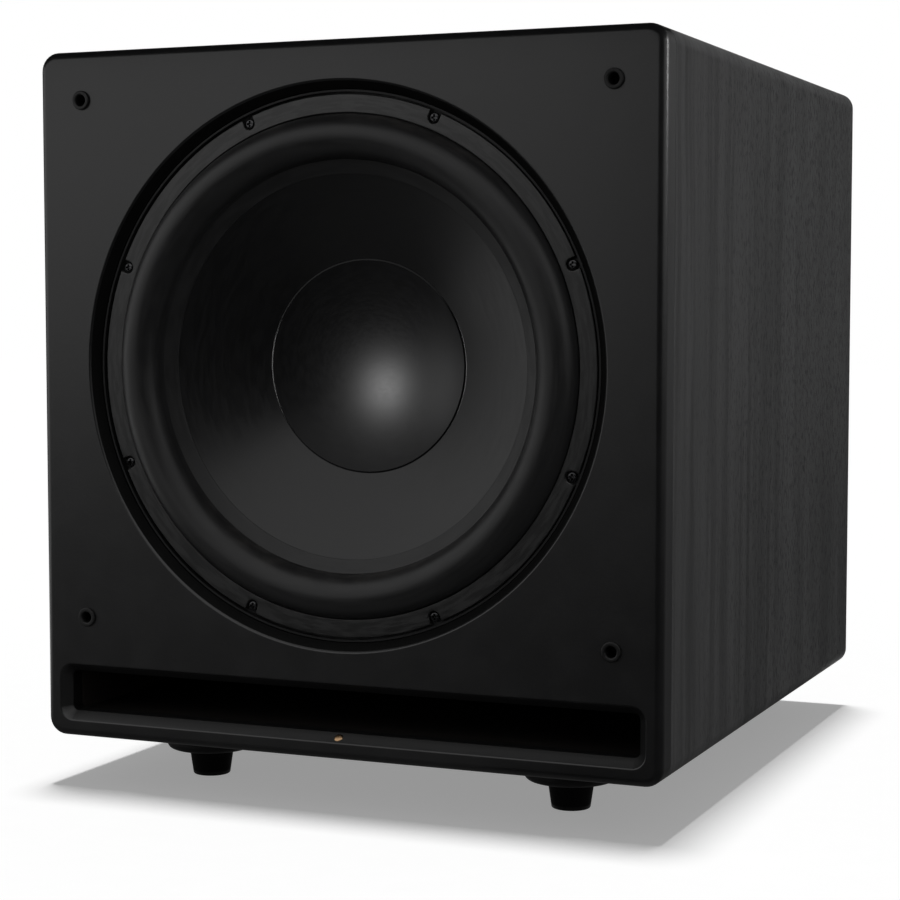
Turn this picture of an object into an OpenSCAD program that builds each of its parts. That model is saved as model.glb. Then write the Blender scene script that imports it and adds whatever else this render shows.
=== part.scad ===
// Ported subwoofer: a slot-loaded wooden cabinet, one large woofer and a plate amplifier in the back.
// Frame: +Z up, the front looks along -Y, the origin is on the floor at the middle of the bounding box.

/* [Cabinet] */
// Width of the cabinet
cab_w = 482; // [470:1:560]
// Height of the cabinet without its feet
cab_h = 507; // [495:1:600]
// Depth of the cabinet from the baffle's face to the back edge
cab_d = 550; // [520:1:640]
// Thickness of the walls, the port shelf and the brace
wall_t = 18; // [16:0.5:20]
// Radius of the four long outer edges
corner_r = 13.5; // [10:0.5:16]
// Thickness of the painted front baffle
baffle_t = 20; // [19:0.5:22]
// Radius of the baffle's rounded front edges
baffle_round = 6; // [3:0.5:8]
// Thickness of the inner baffle that carries the woofer
inner_baffle_t = 22; // [18:0.5:25]
// Thickness of the back panel
back_t = 18; // [16:0.5:22]
// Depth of the back panel behind the walls' rear edges
back_inset = 2; // [1:0.5:4]

/* [Port] */
// Clear height of the port duct
port_h = 30.6; // [26:0.2:34]
// Height of the baffle's lower lip over the port floor
port_lip = 0.6; // [0.2:0.2:2]
// Width of the sloped flare around the slot's mouth
flare_w = 6.4; // [4:0.2:8]
// Depth of the flare
flare_d = 8; // [5:0.5:12]
// Corner radius of the slot behind the flare
slot_r = 4; // [2:0.5:6]
// Height of the upright panel that bends the port behind the shelf
riser_h = 120; // [80:5:140]

/* [Woofer place] */
// Height of the woofer's centre over the cabinet's underside
woofer_h = 278; // [274:1:284]
// Radius of the opening's front edge
recess_r = 201; // [199:0.5:206]
// Radius of the opening round the woofer's flange
opening_r = 194.7; // [194.6:0.1:196]
// Depth of the sloped wall between the two
recess_d = 7; // [4:0.5:9]
// Radius of the hole in the inner baffle
cutout_r = 177; // [176.5:0.1:178]

/* [Woofer frame] */
// Outer radius of the cast flange
flange_r = 194.2; // [193.8:0.1:194.4]
// Depth of the flange's thin outer lip
lip_depth = 7.7; // [6:0.1:9]
// Width of the lip
lip_w = 1.4; // [1:0.1:2]
// Depth of the seat inside the lip
seat_depth = 12.6; // [12:0.1:13.5]
// Thickness of the foam ring under the flange
foam_t = 1.5; // [1:0.1:2]
// Wall of the cast frame
frame_wall = 4; // [3:0.5:5]
// Depth of the ledge that holds the spider
ledge_depth = 96; // [94:1:100]
// Depth of the frame's rear end, where the top plate begins
frame_depth = 118; // [116:1:122]
// Number of arms of the frame, and of screws
arms = 8; // [6:1:8]
// Width of each window between the arms, in degrees
window_deg = 31; // [24:1:34]
// Face depth of the rubber trim ring
trim_depth = 9; // [8:0.1:10]
// Inner radius of the trim ring
trim_r1 = 178.3; // [177.8:0.1:179]
// Outer radius of the trim ring
trim_r2 = 191.4; // [191:0.1:191.8]
// Radius of the screw circle
screw_ring_r = 187; // [186.5:0.1:187.5]
// Width of the notch round each screw
notch_w = 8.5; // [8:0.1:10]
// Head diameter of the woofer screws
screw_head_d = 7; // [6.5:0.1:7.5]
// Length of the woofer screws below the head
screw_len = 26; // [22:1:27]

/* [Moving cone] */
// Outer radius of the surround's roll
roll_r2 = 178; // [177.5:0.1:178.2]
// Inner radius of the surround's roll
roll_r1 = 147; // [146.5:0.1:148]
// Height of the roll over its outer foot
roll_h = 16.5; // [14:0.5:18]
// Thickness of the surround's rubber
roll_t = 1.8; // [1.2:0.1:2]
// Depth of the cone's glued rim under the surround
rim_depth = 15.3; // [15:0.1:16.5]
// Thickness of the surround's inner land on the cone
inner_land_t = 0.9; // [0.6:0.1:1.2]
// Radius of the cone's knee, where the surround's inner land ends
knee_r = 136.8; // [135:0.2:138]
// Depth of the cone at the knee
knee_depth = 20.1; // [19.5:0.1:21]
// Depth of the cone at the voice coil
neck_depth = 74.9; // [72:0.5:77]
// Wall of the cone
cone_t = 1.8; // [1.2:0.1:2]
// Radius of the dust cap
cap_r = 76.3; // [74:0.1:78]
// Depth of the dust cap's dish
cap_h = 20; // [14:0.5:21.5]
// Wall of the dust cap
cap_t = 1; // [0.6:0.1:1.4]
// Outer radius of the voice-coil former
former_r = 38.4; // [38.2:0.1:38.6]
// Wall of the former
former_t = 0.4; // [0.3:0.05:0.5]
// Height of the voice-coil winding
winding_h = 36; // [30:1:38]
// Thickness of the winding
winding_t = 2; // [1.5:0.1:2.2]
// Depth of each corrugation of the spider
spider_wave = 2.2; // [1:0.1:2.4]
// Thickness of the spider
spider_t = 0.9; // [0.6:0.1:1]

/* [Motor] */
// Bore of the top plate
gap_r = 41.3; // [41.1:0.1:41.6]
// Outer radius of the top plate and the magnets
magnet_r = 90; // [86:1:94]
// Bore of the magnet rings
magnet_bore_r = 52; // [48:1:56]
// Thickness of the top plate
top_plate_t = 12; // [10:0.5:14]
// Thickness of one magnet ring
magnet_t = 20; // [18:0.5:22]
// Thickness of the glue between the magnet rings
glue_t = 0.1; // [0.05:0.05:0.2]
// Thickness of the back plate
back_plate_t = 12; // [10:0.5:14]
// Radius of the pole
pole_r = 36.9; // [36.5:0.1:37.2]
// Radius of the vent through the pole
vent_r = 14; // [10:0.5:16]
// Wall of the rubber boot round the motor
boot_t = 2.6; // [2:0.1:3]

/* [Feet] */
// Distance of each foot's axis from the cabinet's centre line
foot_x = 147; // [130:1:170]
// Distance of each foot's axis from the front, and from the back
foot_y = 83; // [70:1:110]
// Radius of the foot's base disc
foot_base_r = 34; // [28:0.5:40]
// Height of the base disc
foot_base_h = 17.4; // [12:0.2:22]
// Edge radius of the base disc
foot_edge = 5; // [2:0.5:6]
// Radius of the rubber pad where it meets the disc
pad_top_r = 17; // [15:0.2:20]
// Radius of the pad on the floor
pad_foot_r = 14; // [11:0.2:15]
// Height of the pad
pad_h = 20.6; // [16:0.2:26]
// Depth of the screw's well in the pad
pad_well = 12; // [8:0.5:14]

/* [Grille sockets] */
// Distance of the sockets from the centre line
socket_x = 205; // [195:1:215]
// Height of the upper sockets over the cabinet's underside
socket_high = 471.2; // [466:0.2:476]
// Height of the lower sockets over the cabinet's underside
socket_low = 90.7; // [86:0.1:96]
// Radius of the socket's rim
socket_rim_r = 7; // [6.4:0.1:8]
// Radius of the socket's body
socket_r = 5.5; // [5:0.1:6]
// Radius of the hole that takes a grille pin
socket_bore_r = 4; // [3:0.1:4.4]
// How far the rim stands out of the baffle
socket_lip = 2; // [1:0.1:3]
// Length of the body in the baffle
socket_len = 14; // [10:0.5:16]

/* [Amplifier] */
// Width of the amplifier's plate
amp_w = 280; // [276:1:300]
// Height of the amplifier's plate
amp_h = 250; // [248:1:262]
// Height of the plate's centre over the cabinet's underside
amp_height = 340; // [332:1:346]
// Thickness of the plate
plate_t = 3; // [2:0.5:4]
// Thickness of the gasket under the plate
amp_gasket_t = 1.5; // [1:0.1:2]
// Width of the rim that the gasket covers
amp_rim = 14; // [12:0.5:16]
// Depth of the inner cover
cover_d = 95; // [92:1:105]
// Wall of the inner cover
cover_t = 1.2; // [1:0.1:1.5]
// Height of the heatsink's fins over the plate
sink_h = 16; // [10:0.5:18]
// Number of fins
fins = 22; // [12:1:24]
// Radius of the knobs
knob_r = 9; // [7:0.5:11]
// Height of the knobs
knob_h = 14; // [10:0.5:16]
// Radius of the knob shafts
shaft_r = 3; // [2.5:0.1:3.2]
// Distance of the input board behind the plate
input_gap = 13; // [11:0.5:14]
// Distance of the main board behind the plate
main_gap = 42; // [38:0.5:44]
// Radius of the toroidal transformer
toroid_r = 42; // [36:1:44]
// Height of the transformer
toroid_h = 40; // [30:1:41]

/* [Clearances] */
// Gap between a part and the hole or slot it moves in
run_gap = 0.4; // [0.3:0.05:0.5]
// Gap between a fastener or a fixed part and its hole
fix_gap = 0.05; // [0.03:0.01:0.1]

/* [Hidden] */
$fn = 64;

// Overlap of a cutting shape past the face it leaves.
over = 1;

// Cabinet
foot_h = foot_base_h + pad_h;
floor_z = foot_h;
top_z = floor_z + cab_h;
in_w = cab_w - 2 * wall_t;
in_floor = floor_z + wall_t;
in_top = top_z - wall_t;
front_proud = max(socket_lip, roll_h - seat_depth);
rear_proud = max(knob_h + run_gap, sink_h) - back_inset;
front_y = front_proud - (front_proud + cab_d + rear_proud) / 2;
back_y = front_y + cab_d;
back_face_y = back_y - back_inset;
back_inner_y = back_face_y - back_t;
inner_baffle_y = front_y + baffle_t;
inner_baffle_back = inner_baffle_y + inner_baffle_t;
shelf_z = in_floor + port_h;
shelf_top = shelf_z + wall_t;
riser_y = back_inner_y - port_h - wall_t;
brace_gap = 198;
brace_y = inner_baffle_back + brace_gap;
brace_rail = 45;
brace_bar = 50;
brace_round = 20;
lining_t = 20;
lining_margin = 15;
foot_bite = 14;
foot_head_r = 5;
foot_head_h = 3;
woofer_z = floor_z + woofer_h;
slot_w = in_w;
slot_bottom = in_floor + port_lip;
slot_top = shelf_z;
slot_mid = (slot_bottom + slot_top) / 2;
slot_h = slot_top - slot_bottom;
badge_r = 3.2;
badge_t = 0.8;

// Woofer, depths counted from the baffle's face
flange_back = baffle_t - foam_t;
throat_r = cutout_r - 1.5;
seat_r = throat_r - frame_wall;
shoulder_depth = 36;
ledge_r = 90;
ledge_w = 11;
barrel_r = 96;
barrel_wall = 12;
rear_wall = 6;
rear_land = 10;
window_edge = 8;
window_reach = 20;
vent_deg = 20;
ledge_back = 3;
land_t = 1.2;
land_depth = seat_depth - land_t;
land_r = 182.5;
screw_r = 2.4;
screw_head_h = 2.6;
cross_w = 1.2;
cross_l = 4.4;
cross_d = 1.3;
arm_pitch = 360 / arms;
cone_slope = (neck_depth - knee_depth) / (knee_r - former_r);
function cone_face(r) = knee_depth + (knee_r - r) * cone_slope;
dish_r = (cap_r * cap_r + cap_h * cap_h) / (2 * cap_h);
dish_back_r = dish_r + cap_t;
dish_edge_deg = asin(cap_r / dish_r);
dish_seat_deg = min(dish_edge_deg, atan(cone_slope));
dish_middle = cone_face(dish_back_r * sin(dish_seat_deg)) - fix_gap - dish_back_r * cos(dish_seat_deg);
former_front = max(neck_depth - 4, dish_middle + sqrt(dish_back_r * dish_back_r - former_r * former_r) + 1);
top_plate_back = frame_depth + top_plate_t;
magnet_back = top_plate_back + 2 * magnet_t + glue_t;
motor_back = magnet_back + back_plate_t;
gap_mid = frame_depth + top_plate_t / 2;
spider_depth = ledge_depth - spider_t;
spider_r = ledge_r - 2.5;
spider_waves = 5;
spider_land = 9.5;
terminal_deg = -90 + arm_pitch / 2;
terminal_w = 34;
terminal_d = 22;
terminal_depth = ledge_depth + 7;
tab_depth = terminal_depth + 3;
tab_l = 7;
tab_w = 6;
tab_t = 1;
tab_x = 9;
lead_r = 0.8;

// Amplifier, y counted from the plate's outer face
amp_z = floor_z + amp_height;
cut_w = amp_w - 2 * amp_rim;
cut_h = amp_h - 2 * amp_rim;
amp_seat = plate_t + amp_gasket_t;
amp_screw_r = 2;
amp_screw_len = 12;
amp_head_r = 3.6;
amp_head_h = 2.2;
amp_screw_x = amp_w / 2 - amp_rim / 2;
amp_screw_z = amp_h / 2 - amp_rim / 2;
amp_corner = 6;
sink_w = 220;
sink_tall = 64;
sink_z2 = amp_h / 2 - 19;
sink_z1 = sink_z2 - sink_tall;
sink_base = 3;
fin_t = 2;
board_t = 1.6;
control_z = 15;
knob_pitch = 50;
gain_x = 60 - amp_w / 2;
crossover_x = gain_x + knob_pitch;
phase_x = crossover_x + knob_pitch;
mode_x = amp_w / 2 - 74;
light_x = mode_x + 30;
jack_pitch = 24;
jack_x = [gain_x - jack_pitch / 2, gain_x + jack_pitch / 2];
jack_z = [-28, -54];
input_w = cut_w - 30;
input_low = -72;
input_high = 36;
input_x = -4;
input_y = -plate_t - input_gap;
pot_w = 16;
jack_r = 4.2;
jack_len = 9.5;
jack_body = 13;
light_r = 1.5;
light_proud = 0.8;
mode_travel = 6;
slider_w = 4;
slider_h = 5;
slider_proud = 2.5;
slider_bite = 5;

// Mains inlet with its fuse drawer, places counted from the inlet's middle
inlet_x = amp_w / 2 - 62;
inlet_z = 47 - amp_h / 2;
inlet_w = 28;
inlet_h = 34;
inlet_d = 22;
inlet_flange = 2;
socket_w = 22.6;
socket_h = 16.2;
socket_z = -5.5;
socket_d = 16;
drawer_w = 22;
drawer_h = 7;
drawer_z = 10.5;
drawer_d = 19;
drawer_wall = 1;
drawer_front = 3;
pin_w = 2;
pin_h = 4;
pin_tail = 7;
pin_recess = 4;
fuse_r = 2.5;

// Power rocker, depths counted from the plate's outer face
rocker_x = inlet_x - 50;
rocker_z = 35 - amp_h / 2;
rocker_w = 13;
rocker_h = 19;
rocker_deg = 9;
rocker_flange = 1.5;
rocker_d = 14;
rocker_axis = -2;
rocker_pin_r = 1.2;

// Inside the amplifier
toroid_x = cut_w / 2 - toroid_r - 10;
toroid_z = 44;
bolt_r = 3;
washer_r = 20;
washer_t = 1.5;
standoff_x = cut_w / 2 - 11;
standoff_z = cut_h / 2 - 11;
standoff_r = 3;
stud_r = 1.55;
nut_h = 3;
main_y = -plate_t - main_gap;
main_back = main_y - board_t;
main_x1 = -standoff_x - 5;
main_x2 = toroid_x - toroid_r - 8;
reservoir_r = 15;
reservoir_h = 38;
filter_w = 18;
filter_h = 24;
choke_r = 14;
choke_bore_r = 6;
resistor_w = 32;
resistor_h = 12;
resistor_t = 9;
resistor_pitch = 22;
device_w = 16;
device_h = 20;
device_t = 5;
device_pitch = 32;
device_x1 = 14 - sink_w / 2;
device_z = (sink_z1 + sink_z2) / 2 - 4;
leg_w = 1;
leg_pitch = 5;
leg_l = 6;

// Flat outline of a box with true round corners, centred on the origin.
module rounded_rect(w, h, r) {
    square([w - 2 * r, h], center = true);
    square([w, h - 2 * r], center = true);
    for (x = [-1, 1], y = [-1, 1]) translate([x * (w / 2 - r), y * (h / 2 - r)]) circle(r);
}

// Sweeps an outline drawn in X and Z along Y, from y to y + len.
module along_y(y, len) {
    translate([0, y + len, 0]) rotate([90, 0, 0]) linear_extrude(len) children();
}

// A box between two opposite corners.
module box(low, high) {
    translate(low) cube(high - low);
}

// Woofer frame: local +Z runs back into the cabinet from the middle of the baffle's face.
module at_woofer() {
    translate([0, front_y, woofer_z]) rotate([-90, 0, 0]) children();
}

// Amplifier frame: the origin is the middle of the plate's outer face, and +Y leaves the back.
module at_amp() {
    translate([0, back_face_y, amp_z]) children();
}

// A cylinder along +Y from y1 to y2.
module rod_y(r, y1, y2) {
    translate([0, y1, 0]) rotate([-90, 0, 0]) cylinder(r = r, h = y2 - y1);
}

// A round cross-headed screw: its head stands on z = 0 and its shank runs along -Z.
module cross_screw(head_r, head_h, shank_r, shank_l) {
    difference() {
        cylinder(r = head_r, h = head_h);
        for (a = [0, 90]) rotate([0, 0, a])
            translate([-cross_l / 2, -cross_w / 2, head_h - cross_d])
                cube([cross_l, cross_w, cross_d + over]);
    }
    translate([0, 0, -shank_l]) cylinder(r = shank_r, h = shank_l);
}

// Places children at each woofer screw, in the woofer frame.
module each_screw() {
    for (k = [0:arms - 1]) rotate([0, 0, (k + 0.5) * arm_pitch]) translate([screw_ring_r, 0, 0]) children();
}

// Places children at each foot, on the cabinet's underside.
module each_foot() {
    for (x = [-foot_x, foot_x], y = [front_y + foot_y, back_y - foot_y])
        translate([x, y, floor_z]) children();
}

// Places children at each grille socket, with +Z leaving the front.
module each_socket() {
    for (x = [-socket_x, socket_x], z = [socket_low, socket_high])
        translate([x, front_y, floor_z + z]) rotate([90, 0, 0]) children();
}

// Unit vector, and the frame of a tube's ring at point i of its path.
function unit(v) = v / norm(v);
function heading(path, i) = unit(path[min(i + 1, len(path) - 1)] - path[max(i - 1, 0)]);
function side_of(t) = unit(cross(t, abs(t.z) < 0.9 ? [0, 0, 1] : [1, 0, 0]));
function ring_at(path, i, r, n) =
    let (t = heading(path, i), u = side_of(t), v = cross(t, u))
    [for (k = [0:n - 1]) path[i] + r * (cos(360 * k / n) * u + sin(360 * k / n) * v)];
// Points of a smooth curve through the given points, with m steps between neighbours.
function spline(p, m) = [
    for (i = [0:len(p) - 2], s = [0:m - 1])
        let (a = p[max(i - 1, 0)], b = p[i], c = p[i + 1], d = p[min(i + 2, len(p) - 1)], t = s / m)
        0.5 * (2 * b + (c - a) * t + (2 * a - 5 * b + 4 * c - d) * t * t
               + (3 * b - a - 3 * c + d) * t * t * t),
    p[len(p) - 1]
];

// A round wire along a smooth curve through the points.
module wire(points, r, sides = 8, steps = 3) {
    path = spline(points, steps);
    m = len(path);
    polyhedron(
        points = [for (i = [0:m - 1]) each ring_at(path, i, r, sides)],
        faces = concat(
            [[for (k = [0:sides - 1]) k]],
            [for (i = [0:m - 2], k = [0:sides - 1]) let (j = (k + 1) % sides)
                [i * sides + k, (i + 1) * sides + k, (i + 1) * sides + j, i * sides + j]],
            [[for (k = [sides - 1:-1:0]) (m - 1) * sides + k]]
        )
    );
}

// ---- Cabinet ----

// The wall's cross-section: a rounded outline round a square inside.
module wall_section() {
    translate([0, (floor_z + top_z) / 2]) difference() {
        rounded_rect(cab_w, cab_h, corner_r);
        square([in_w, in_top - in_floor], center = true);
    }
}

// One mitred wall: the part of the section inside a wedge that ends on the mitres.
module wall(wedge) {
    along_y(inner_baffle_y, cab_d - baffle_t) intersection() {
        wall_section();
        polygon(wedge);
    }
}

module top_panel() {
    color("#1b1b1c") wall([
        [-in_w / 2, in_top], [in_w / 2, in_top],
        [cab_w / 2 + over, top_z + over], [-cab_w / 2 - over, top_z + over]
    ]);
}

module bottom_panel() {
    color("#1b1b1c") difference() {
        wall([
            [-in_w / 2, in_floor], [in_w / 2, in_floor],
            [cab_w / 2 + over, floor_z - over], [-cab_w / 2 - over, floor_z - over]
        ]);
        each_foot() translate([0, 0, -over]) cylinder(r = screw_r + fix_gap, h = foot_bite + over);
    }
}

// A side wall: s is -1 on the left and 1 on the right.
module side_panel(s) {
    color("#1b1b1c") wall([
        [s * in_w / 2, in_floor], [s * in_w / 2, in_top],
        [s * (cab_w / 2 + over), top_z + over], [s * (cab_w / 2 + over), floor_z - over]
    ]);
}

module left_panel() { side_panel(-1); }
module right_panel() { side_panel(1); }

// What the rounding takes off a straight front edge: local X points out of the cabinet, local Y to the front.
module round_cutter() {
    difference() {
        translate([-baffle_round, -baffle_round]) square(baffle_round + over);
        translate([-baffle_round, -baffle_round]) circle(baffle_round);
    }
}

// The rounding of all four front edges and their corners, as one cutter in the baffle's own frame.
module front_rounding() {
    straight_w = cab_w - 2 * corner_r;
    straight_h = cab_h - 2 * corner_r;
    for (q = [0:3]) {
        flat = q % 2 == 0 ? straight_h : straight_w;
        reach = q % 2 == 0 ? cab_w / 2 : cab_h / 2;
        rotate([0, 0, 90 * q]) {
            translate([reach, flat / 2, 0]) rotate([90, 0, 0]) linear_extrude(flat) round_cutter();
            translate([reach - corner_r, flat / 2, 0])
                rotate_extrude(angle = 90) translate([corner_r, 0]) round_cutter();
        }
    }
}

// The slot's flare: a tapered plug from the mouth's outline to the slot's.
module flare() {
    hull() {
        translate([0, 0, -0.01]) linear_extrude(0.02)
            rounded_rect(slot_w + 2 * flare_w, slot_h + 2 * flare_w, slot_r + flare_w, $fn = 32);
        translate([0, 0, -flare_d]) linear_extrude(0.02) rounded_rect(slot_w, slot_h, slot_r, $fn = 32);
    }
}

module front_baffle() {
    color("#232324") difference() {
        translate([0, front_y, (floor_z + top_z) / 2]) rotate([90, 0, 0]) difference() {
            translate([0, 0, -baffle_t]) linear_extrude(baffle_t) rounded_rect(cab_w, cab_h, corner_r);
            front_rounding();
        }
        at_woofer() {
            translate([0, 0, -over]) cylinder(r = opening_r, h = baffle_t + 2 * over);
            cylinder(r1 = recess_r, r2 = opening_r, h = recess_d);
        }
        along_y(front_y - over, baffle_t + 2 * over)
            translate([0, slot_mid]) rounded_rect(slot_w, slot_h, slot_r);
        translate([0, front_y, slot_mid]) rotate([90, 0, 0]) flare();
        each_socket() translate([0, 0, -socket_len - run_gap])
            cylinder(r = socket_r + fix_gap, h = socket_len + run_gap + over);
    }
}

module inner_baffle() {
    color("#7a5d3e") difference() {
        box([-in_w / 2, inner_baffle_y, shelf_top], [in_w / 2, inner_baffle_back, in_top]);
        at_woofer() {
            cylinder(r = cutout_r, h = baffle_t + inner_baffle_t + over);
            each_screw() translate([0, 0, seat_depth]) cylinder(r = screw_r + fix_gap, h = screw_len + over);
        }
    }
}

module port_shelf() {
    color("#7a5d3e") box([-in_w / 2, inner_baffle_y, shelf_z], [in_w / 2, riser_y + wall_t, shelf_top]);
}

module port_riser() {
    color("#7a5d3e") box([-in_w / 2, riser_y, shelf_top], [in_w / 2, riser_y + wall_t, shelf_top + riser_h]);
}

module window_brace() {
    mid_z = (shelf_top + in_top) / 2;
    window_w = in_w / 2 - brace_rail - brace_bar / 2;
    window_h = mid_z - shelf_top - brace_rail - brace_bar / 2;
    color("#7a5d3e") along_y(brace_y, wall_t) difference() {
        translate([-in_w / 2, shelf_top]) square([in_w, in_top - shelf_top]);
        for (x = [-1, 1], z = [-1, 1])
            translate([x * (brace_bar + window_w) / 2, mid_z + z * (brace_bar + window_h) / 2])
                rounded_rect(window_w, window_h, brace_round);
    }
}

module back_panel() {
    color("#1c1c1d") difference() {
        box([-in_w / 2, back_inner_y, in_floor], [in_w / 2, back_face_y, in_top]);
        at_amp() {
            along_y(-back_t - over, back_t + 2 * over) square([cut_w, cut_h], center = true);
            along_y(-amp_seat, amp_seat + over) rounded_rect(amp_w + run_gap, amp_h + run_gap, amp_corner);
            each_amp_screw() rod_y(amp_screw_r + fix_gap, -amp_screw_len - over, 0);
        }
    }
}

module acoustic_lining() {
    bays = [[inner_baffle_back + lining_margin, brace_y - lining_margin],
            [brace_y + wall_t + lining_margin, riser_y - lining_margin]];
    pad_low = shelf_top + brace_rail;
    color("#8d8d86") for (bay = bays) {
        for (s = [-1, 1]) translate([s * (in_w - lining_t) / 2 - lining_t / 2, bay[0], pad_low])
            cube([lining_t, bay[1] - bay[0], in_top - 2 * lining_t - pad_low]);
        translate([-in_w / 2 + 2 * lining_t, bay[0], in_top - lining_t])
            cube([in_w - 4 * lining_t, bay[1] - bay[0], lining_t]);
    }
}

// ---- Feet, sockets, badge ----

module foot_bases() {
    color("#141414") each_foot() difference() {
        translate([0, 0, -foot_base_h]) rotate_extrude() {
            square([foot_base_r - foot_edge, foot_base_h]);
            translate([0, foot_edge]) square([foot_base_r, foot_base_h - foot_edge]);
            translate([foot_base_r - foot_edge, foot_edge]) intersection() {
                circle(foot_edge);
                translate([0, -foot_edge]) square(foot_edge);
            }
        }
        translate([0, 0, -foot_base_h - over]) cylinder(r = screw_r + fix_gap, h = foot_base_h + 2 * over);
    }
}

module foot_pads() {
    color("#101010") each_foot() translate([0, 0, -foot_h]) difference() {
        cylinder(r1 = pad_foot_r, r2 = pad_top_r, h = pad_h);
        translate([0, 0, -over]) cylinder(r = foot_head_r + run_gap, h = pad_well + over);
        cylinder(r = screw_r + fix_gap, h = pad_h + over);
    }
}

module foot_screws() {
    color("#b9b9b4") each_foot() translate([0, 0, pad_well - foot_h]) rotate([180, 0, 0])
        cross_screw(foot_head_r, foot_head_h, screw_r, foot_h - pad_well + foot_bite - run_gap);
}

module grille_sockets() {
    color("#0e0e0e") each_socket() difference() {
        union() {
            cylinder(r = socket_rim_r, h = socket_lip);
            translate([0, 0, -socket_len]) cylinder(r = socket_r, h = socket_len + over);
        }
        translate([0, 0, socket_lip - socket_len]) cylinder(r = socket_bore_r, h = socket_len + over);
    }
}

module badge_dot() {
    flare_deg = atan2(flare_w, flare_d);
    color("#a07c55") translate([0, front_y + flare_d / 2, slot_bottom - flare_w / 2])
        rotate([flare_deg, 0, 0]) cylinder(r = badge_r, h = badge_t);
}

// ---- Woofer: fixed parts ----

module woofer_gasket() {
    color("#2a2a2a") at_woofer() translate([0, 0, flange_back]) difference() {
        cylinder(r = flange_r - lip_w, h = foam_t);
        translate([0, 0, -over]) cylinder(r = cutout_r + over, h = foam_t + 2 * over);
        each_screw() translate([0, 0, -over]) cylinder(r = screw_r + run_gap, h = foam_t + 2 * over);
    }
}

// Outline of the cast frame: flange and lip, sloped arms, the spider's ledge and the rear ring.
module frame_outline() {
    polygon([
        [seat_r, seat_depth], [flange_r - lip_w, seat_depth], [flange_r - lip_w, lip_depth],
        [flange_r, lip_depth], [flange_r, flange_back], [throat_r, flange_back],
        [throat_r, shoulder_depth], [barrel_r, ledge_depth + ledge_back], [barrel_r, frame_depth],
        [magnet_bore_r + rear_land, frame_depth], [magnet_bore_r + rear_land, frame_depth - rear_wall],
        [barrel_r - barrel_wall, frame_depth - rear_wall], [barrel_r - barrel_wall, ledge_depth + frame_wall],
        [ledge_r - ledge_w, ledge_depth + frame_wall], [ledge_r - ledge_w, ledge_depth],
        [ledge_r, ledge_depth], [seat_r, shoulder_depth - frame_wall]
    ]);
}

// Depth of the arms' outer face at radius r.
function arm_depth(r) =
    shoulder_depth + (throat_r - r) * (ledge_depth + ledge_back - shoulder_depth) / (throat_r - barrel_r);

// Section of the cutter of one window: a band along the slope of the arms.
module window_outline() {
    r1 = barrel_r + window_edge;
    r2 = seat_r - window_edge;
    polygon([
        [r1, arm_depth(r1) - window_reach], [r2, arm_depth(r2) - window_reach],
        [r2, arm_depth(r2) + window_reach], [r1, arm_depth(r1) + window_reach]
    ]);
}

// Section of the cutter of one vent through the barrel, behind the spider's ledge.
module vent_outline() {
    depth = ledge_depth + frame_wall + 2;
    translate([barrel_r - barrel_wall - over, depth])
        square([barrel_wall + 2 * over, frame_depth - rear_wall - 2 - depth]);
}

module basket() {
    color("#1a1a1b") at_woofer() difference() {
        rotate_extrude() frame_outline();
        for (k = [0:arms - 1]) rotate([0, 0, (k + 0.5) * arm_pitch]) {
            rotate([0, 0, -window_deg / 2]) rotate_extrude(angle = window_deg) window_outline();
            rotate([0, 0, -vent_deg / 2]) rotate_extrude(angle = vent_deg) vent_outline();
        }
        each_screw() translate([0, 0, seat_depth - over])
            cylinder(r = screw_r + run_gap, h = flange_back - seat_depth + 2 * over);
    }
}

module trim_ring() {
    color("#262627") at_woofer() difference() {
        rotate_extrude() polygon([
            [trim_r1, land_depth], [trim_r1, trim_depth + 0.6], [trim_r1 + 0.6, trim_depth],
            [trim_r2 - 0.8, trim_depth], [trim_r2, trim_depth + 0.8], [trim_r2, seat_depth],
            [land_r + 0.3, seat_depth], [land_r + 0.3, land_depth]
        ]);
        each_screw() translate([0, 0, trim_depth - over]) {
            cylinder(r = notch_w / 2, h = seat_depth);
            translate([0, -notch_w / 2, 0]) cube([notch_w, notch_w, seat_depth]);
        }
    }
}

module woofer_screws() {
    color("#1d1d1d") at_woofer() each_screw() translate([0, 0, seat_depth]) rotate([180, 0, 0])
        cross_screw(screw_head_d / 2, screw_head_h, screw_r, screw_len);
}

module top_plate() {
    color("#3a3b3d") at_woofer() translate([0, 0, frame_depth]) difference() {
        cylinder(r = magnet_r, h = top_plate_t);
        translate([0, 0, -over]) cylinder(r = gap_r, h = top_plate_t + 2 * over);
    }
}

module magnet_rings() {
    color("#2b2b2c") at_woofer() for (k = [0, 1])
        translate([0, 0, top_plate_back + k * (magnet_t + glue_t)]) difference() {
            cylinder(r = magnet_r, h = magnet_t);
            translate([0, 0, -over]) cylinder(r = magnet_bore_r, h = magnet_t + 2 * over);
        }
}

module back_plate() {
    color("#3a3b3d") at_woofer() difference() {
        union() {
            translate([0, 0, magnet_back]) cylinder(r = magnet_r - 2, h = back_plate_t);
            translate([0, 0, frame_depth]) cylinder(r = pole_r, h = motor_back - frame_depth);
        }
        translate([0, 0, frame_depth - over]) cylinder(r = vent_r, h = motor_back - frame_depth + 2 * over);
    }
}

module magnet_boot() {
    inner = magnet_r + run_gap;
    color("#151515") at_woofer() rotate_extrude() polygon([
        [inner, frame_depth + 3], [inner + boot_t, frame_depth + 3], [inner + boot_t, motor_back + boot_t],
        [vent_r + 6, motor_back + boot_t], [vent_r + 6, motor_back], [inner, motor_back]
    ]);
}

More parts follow.
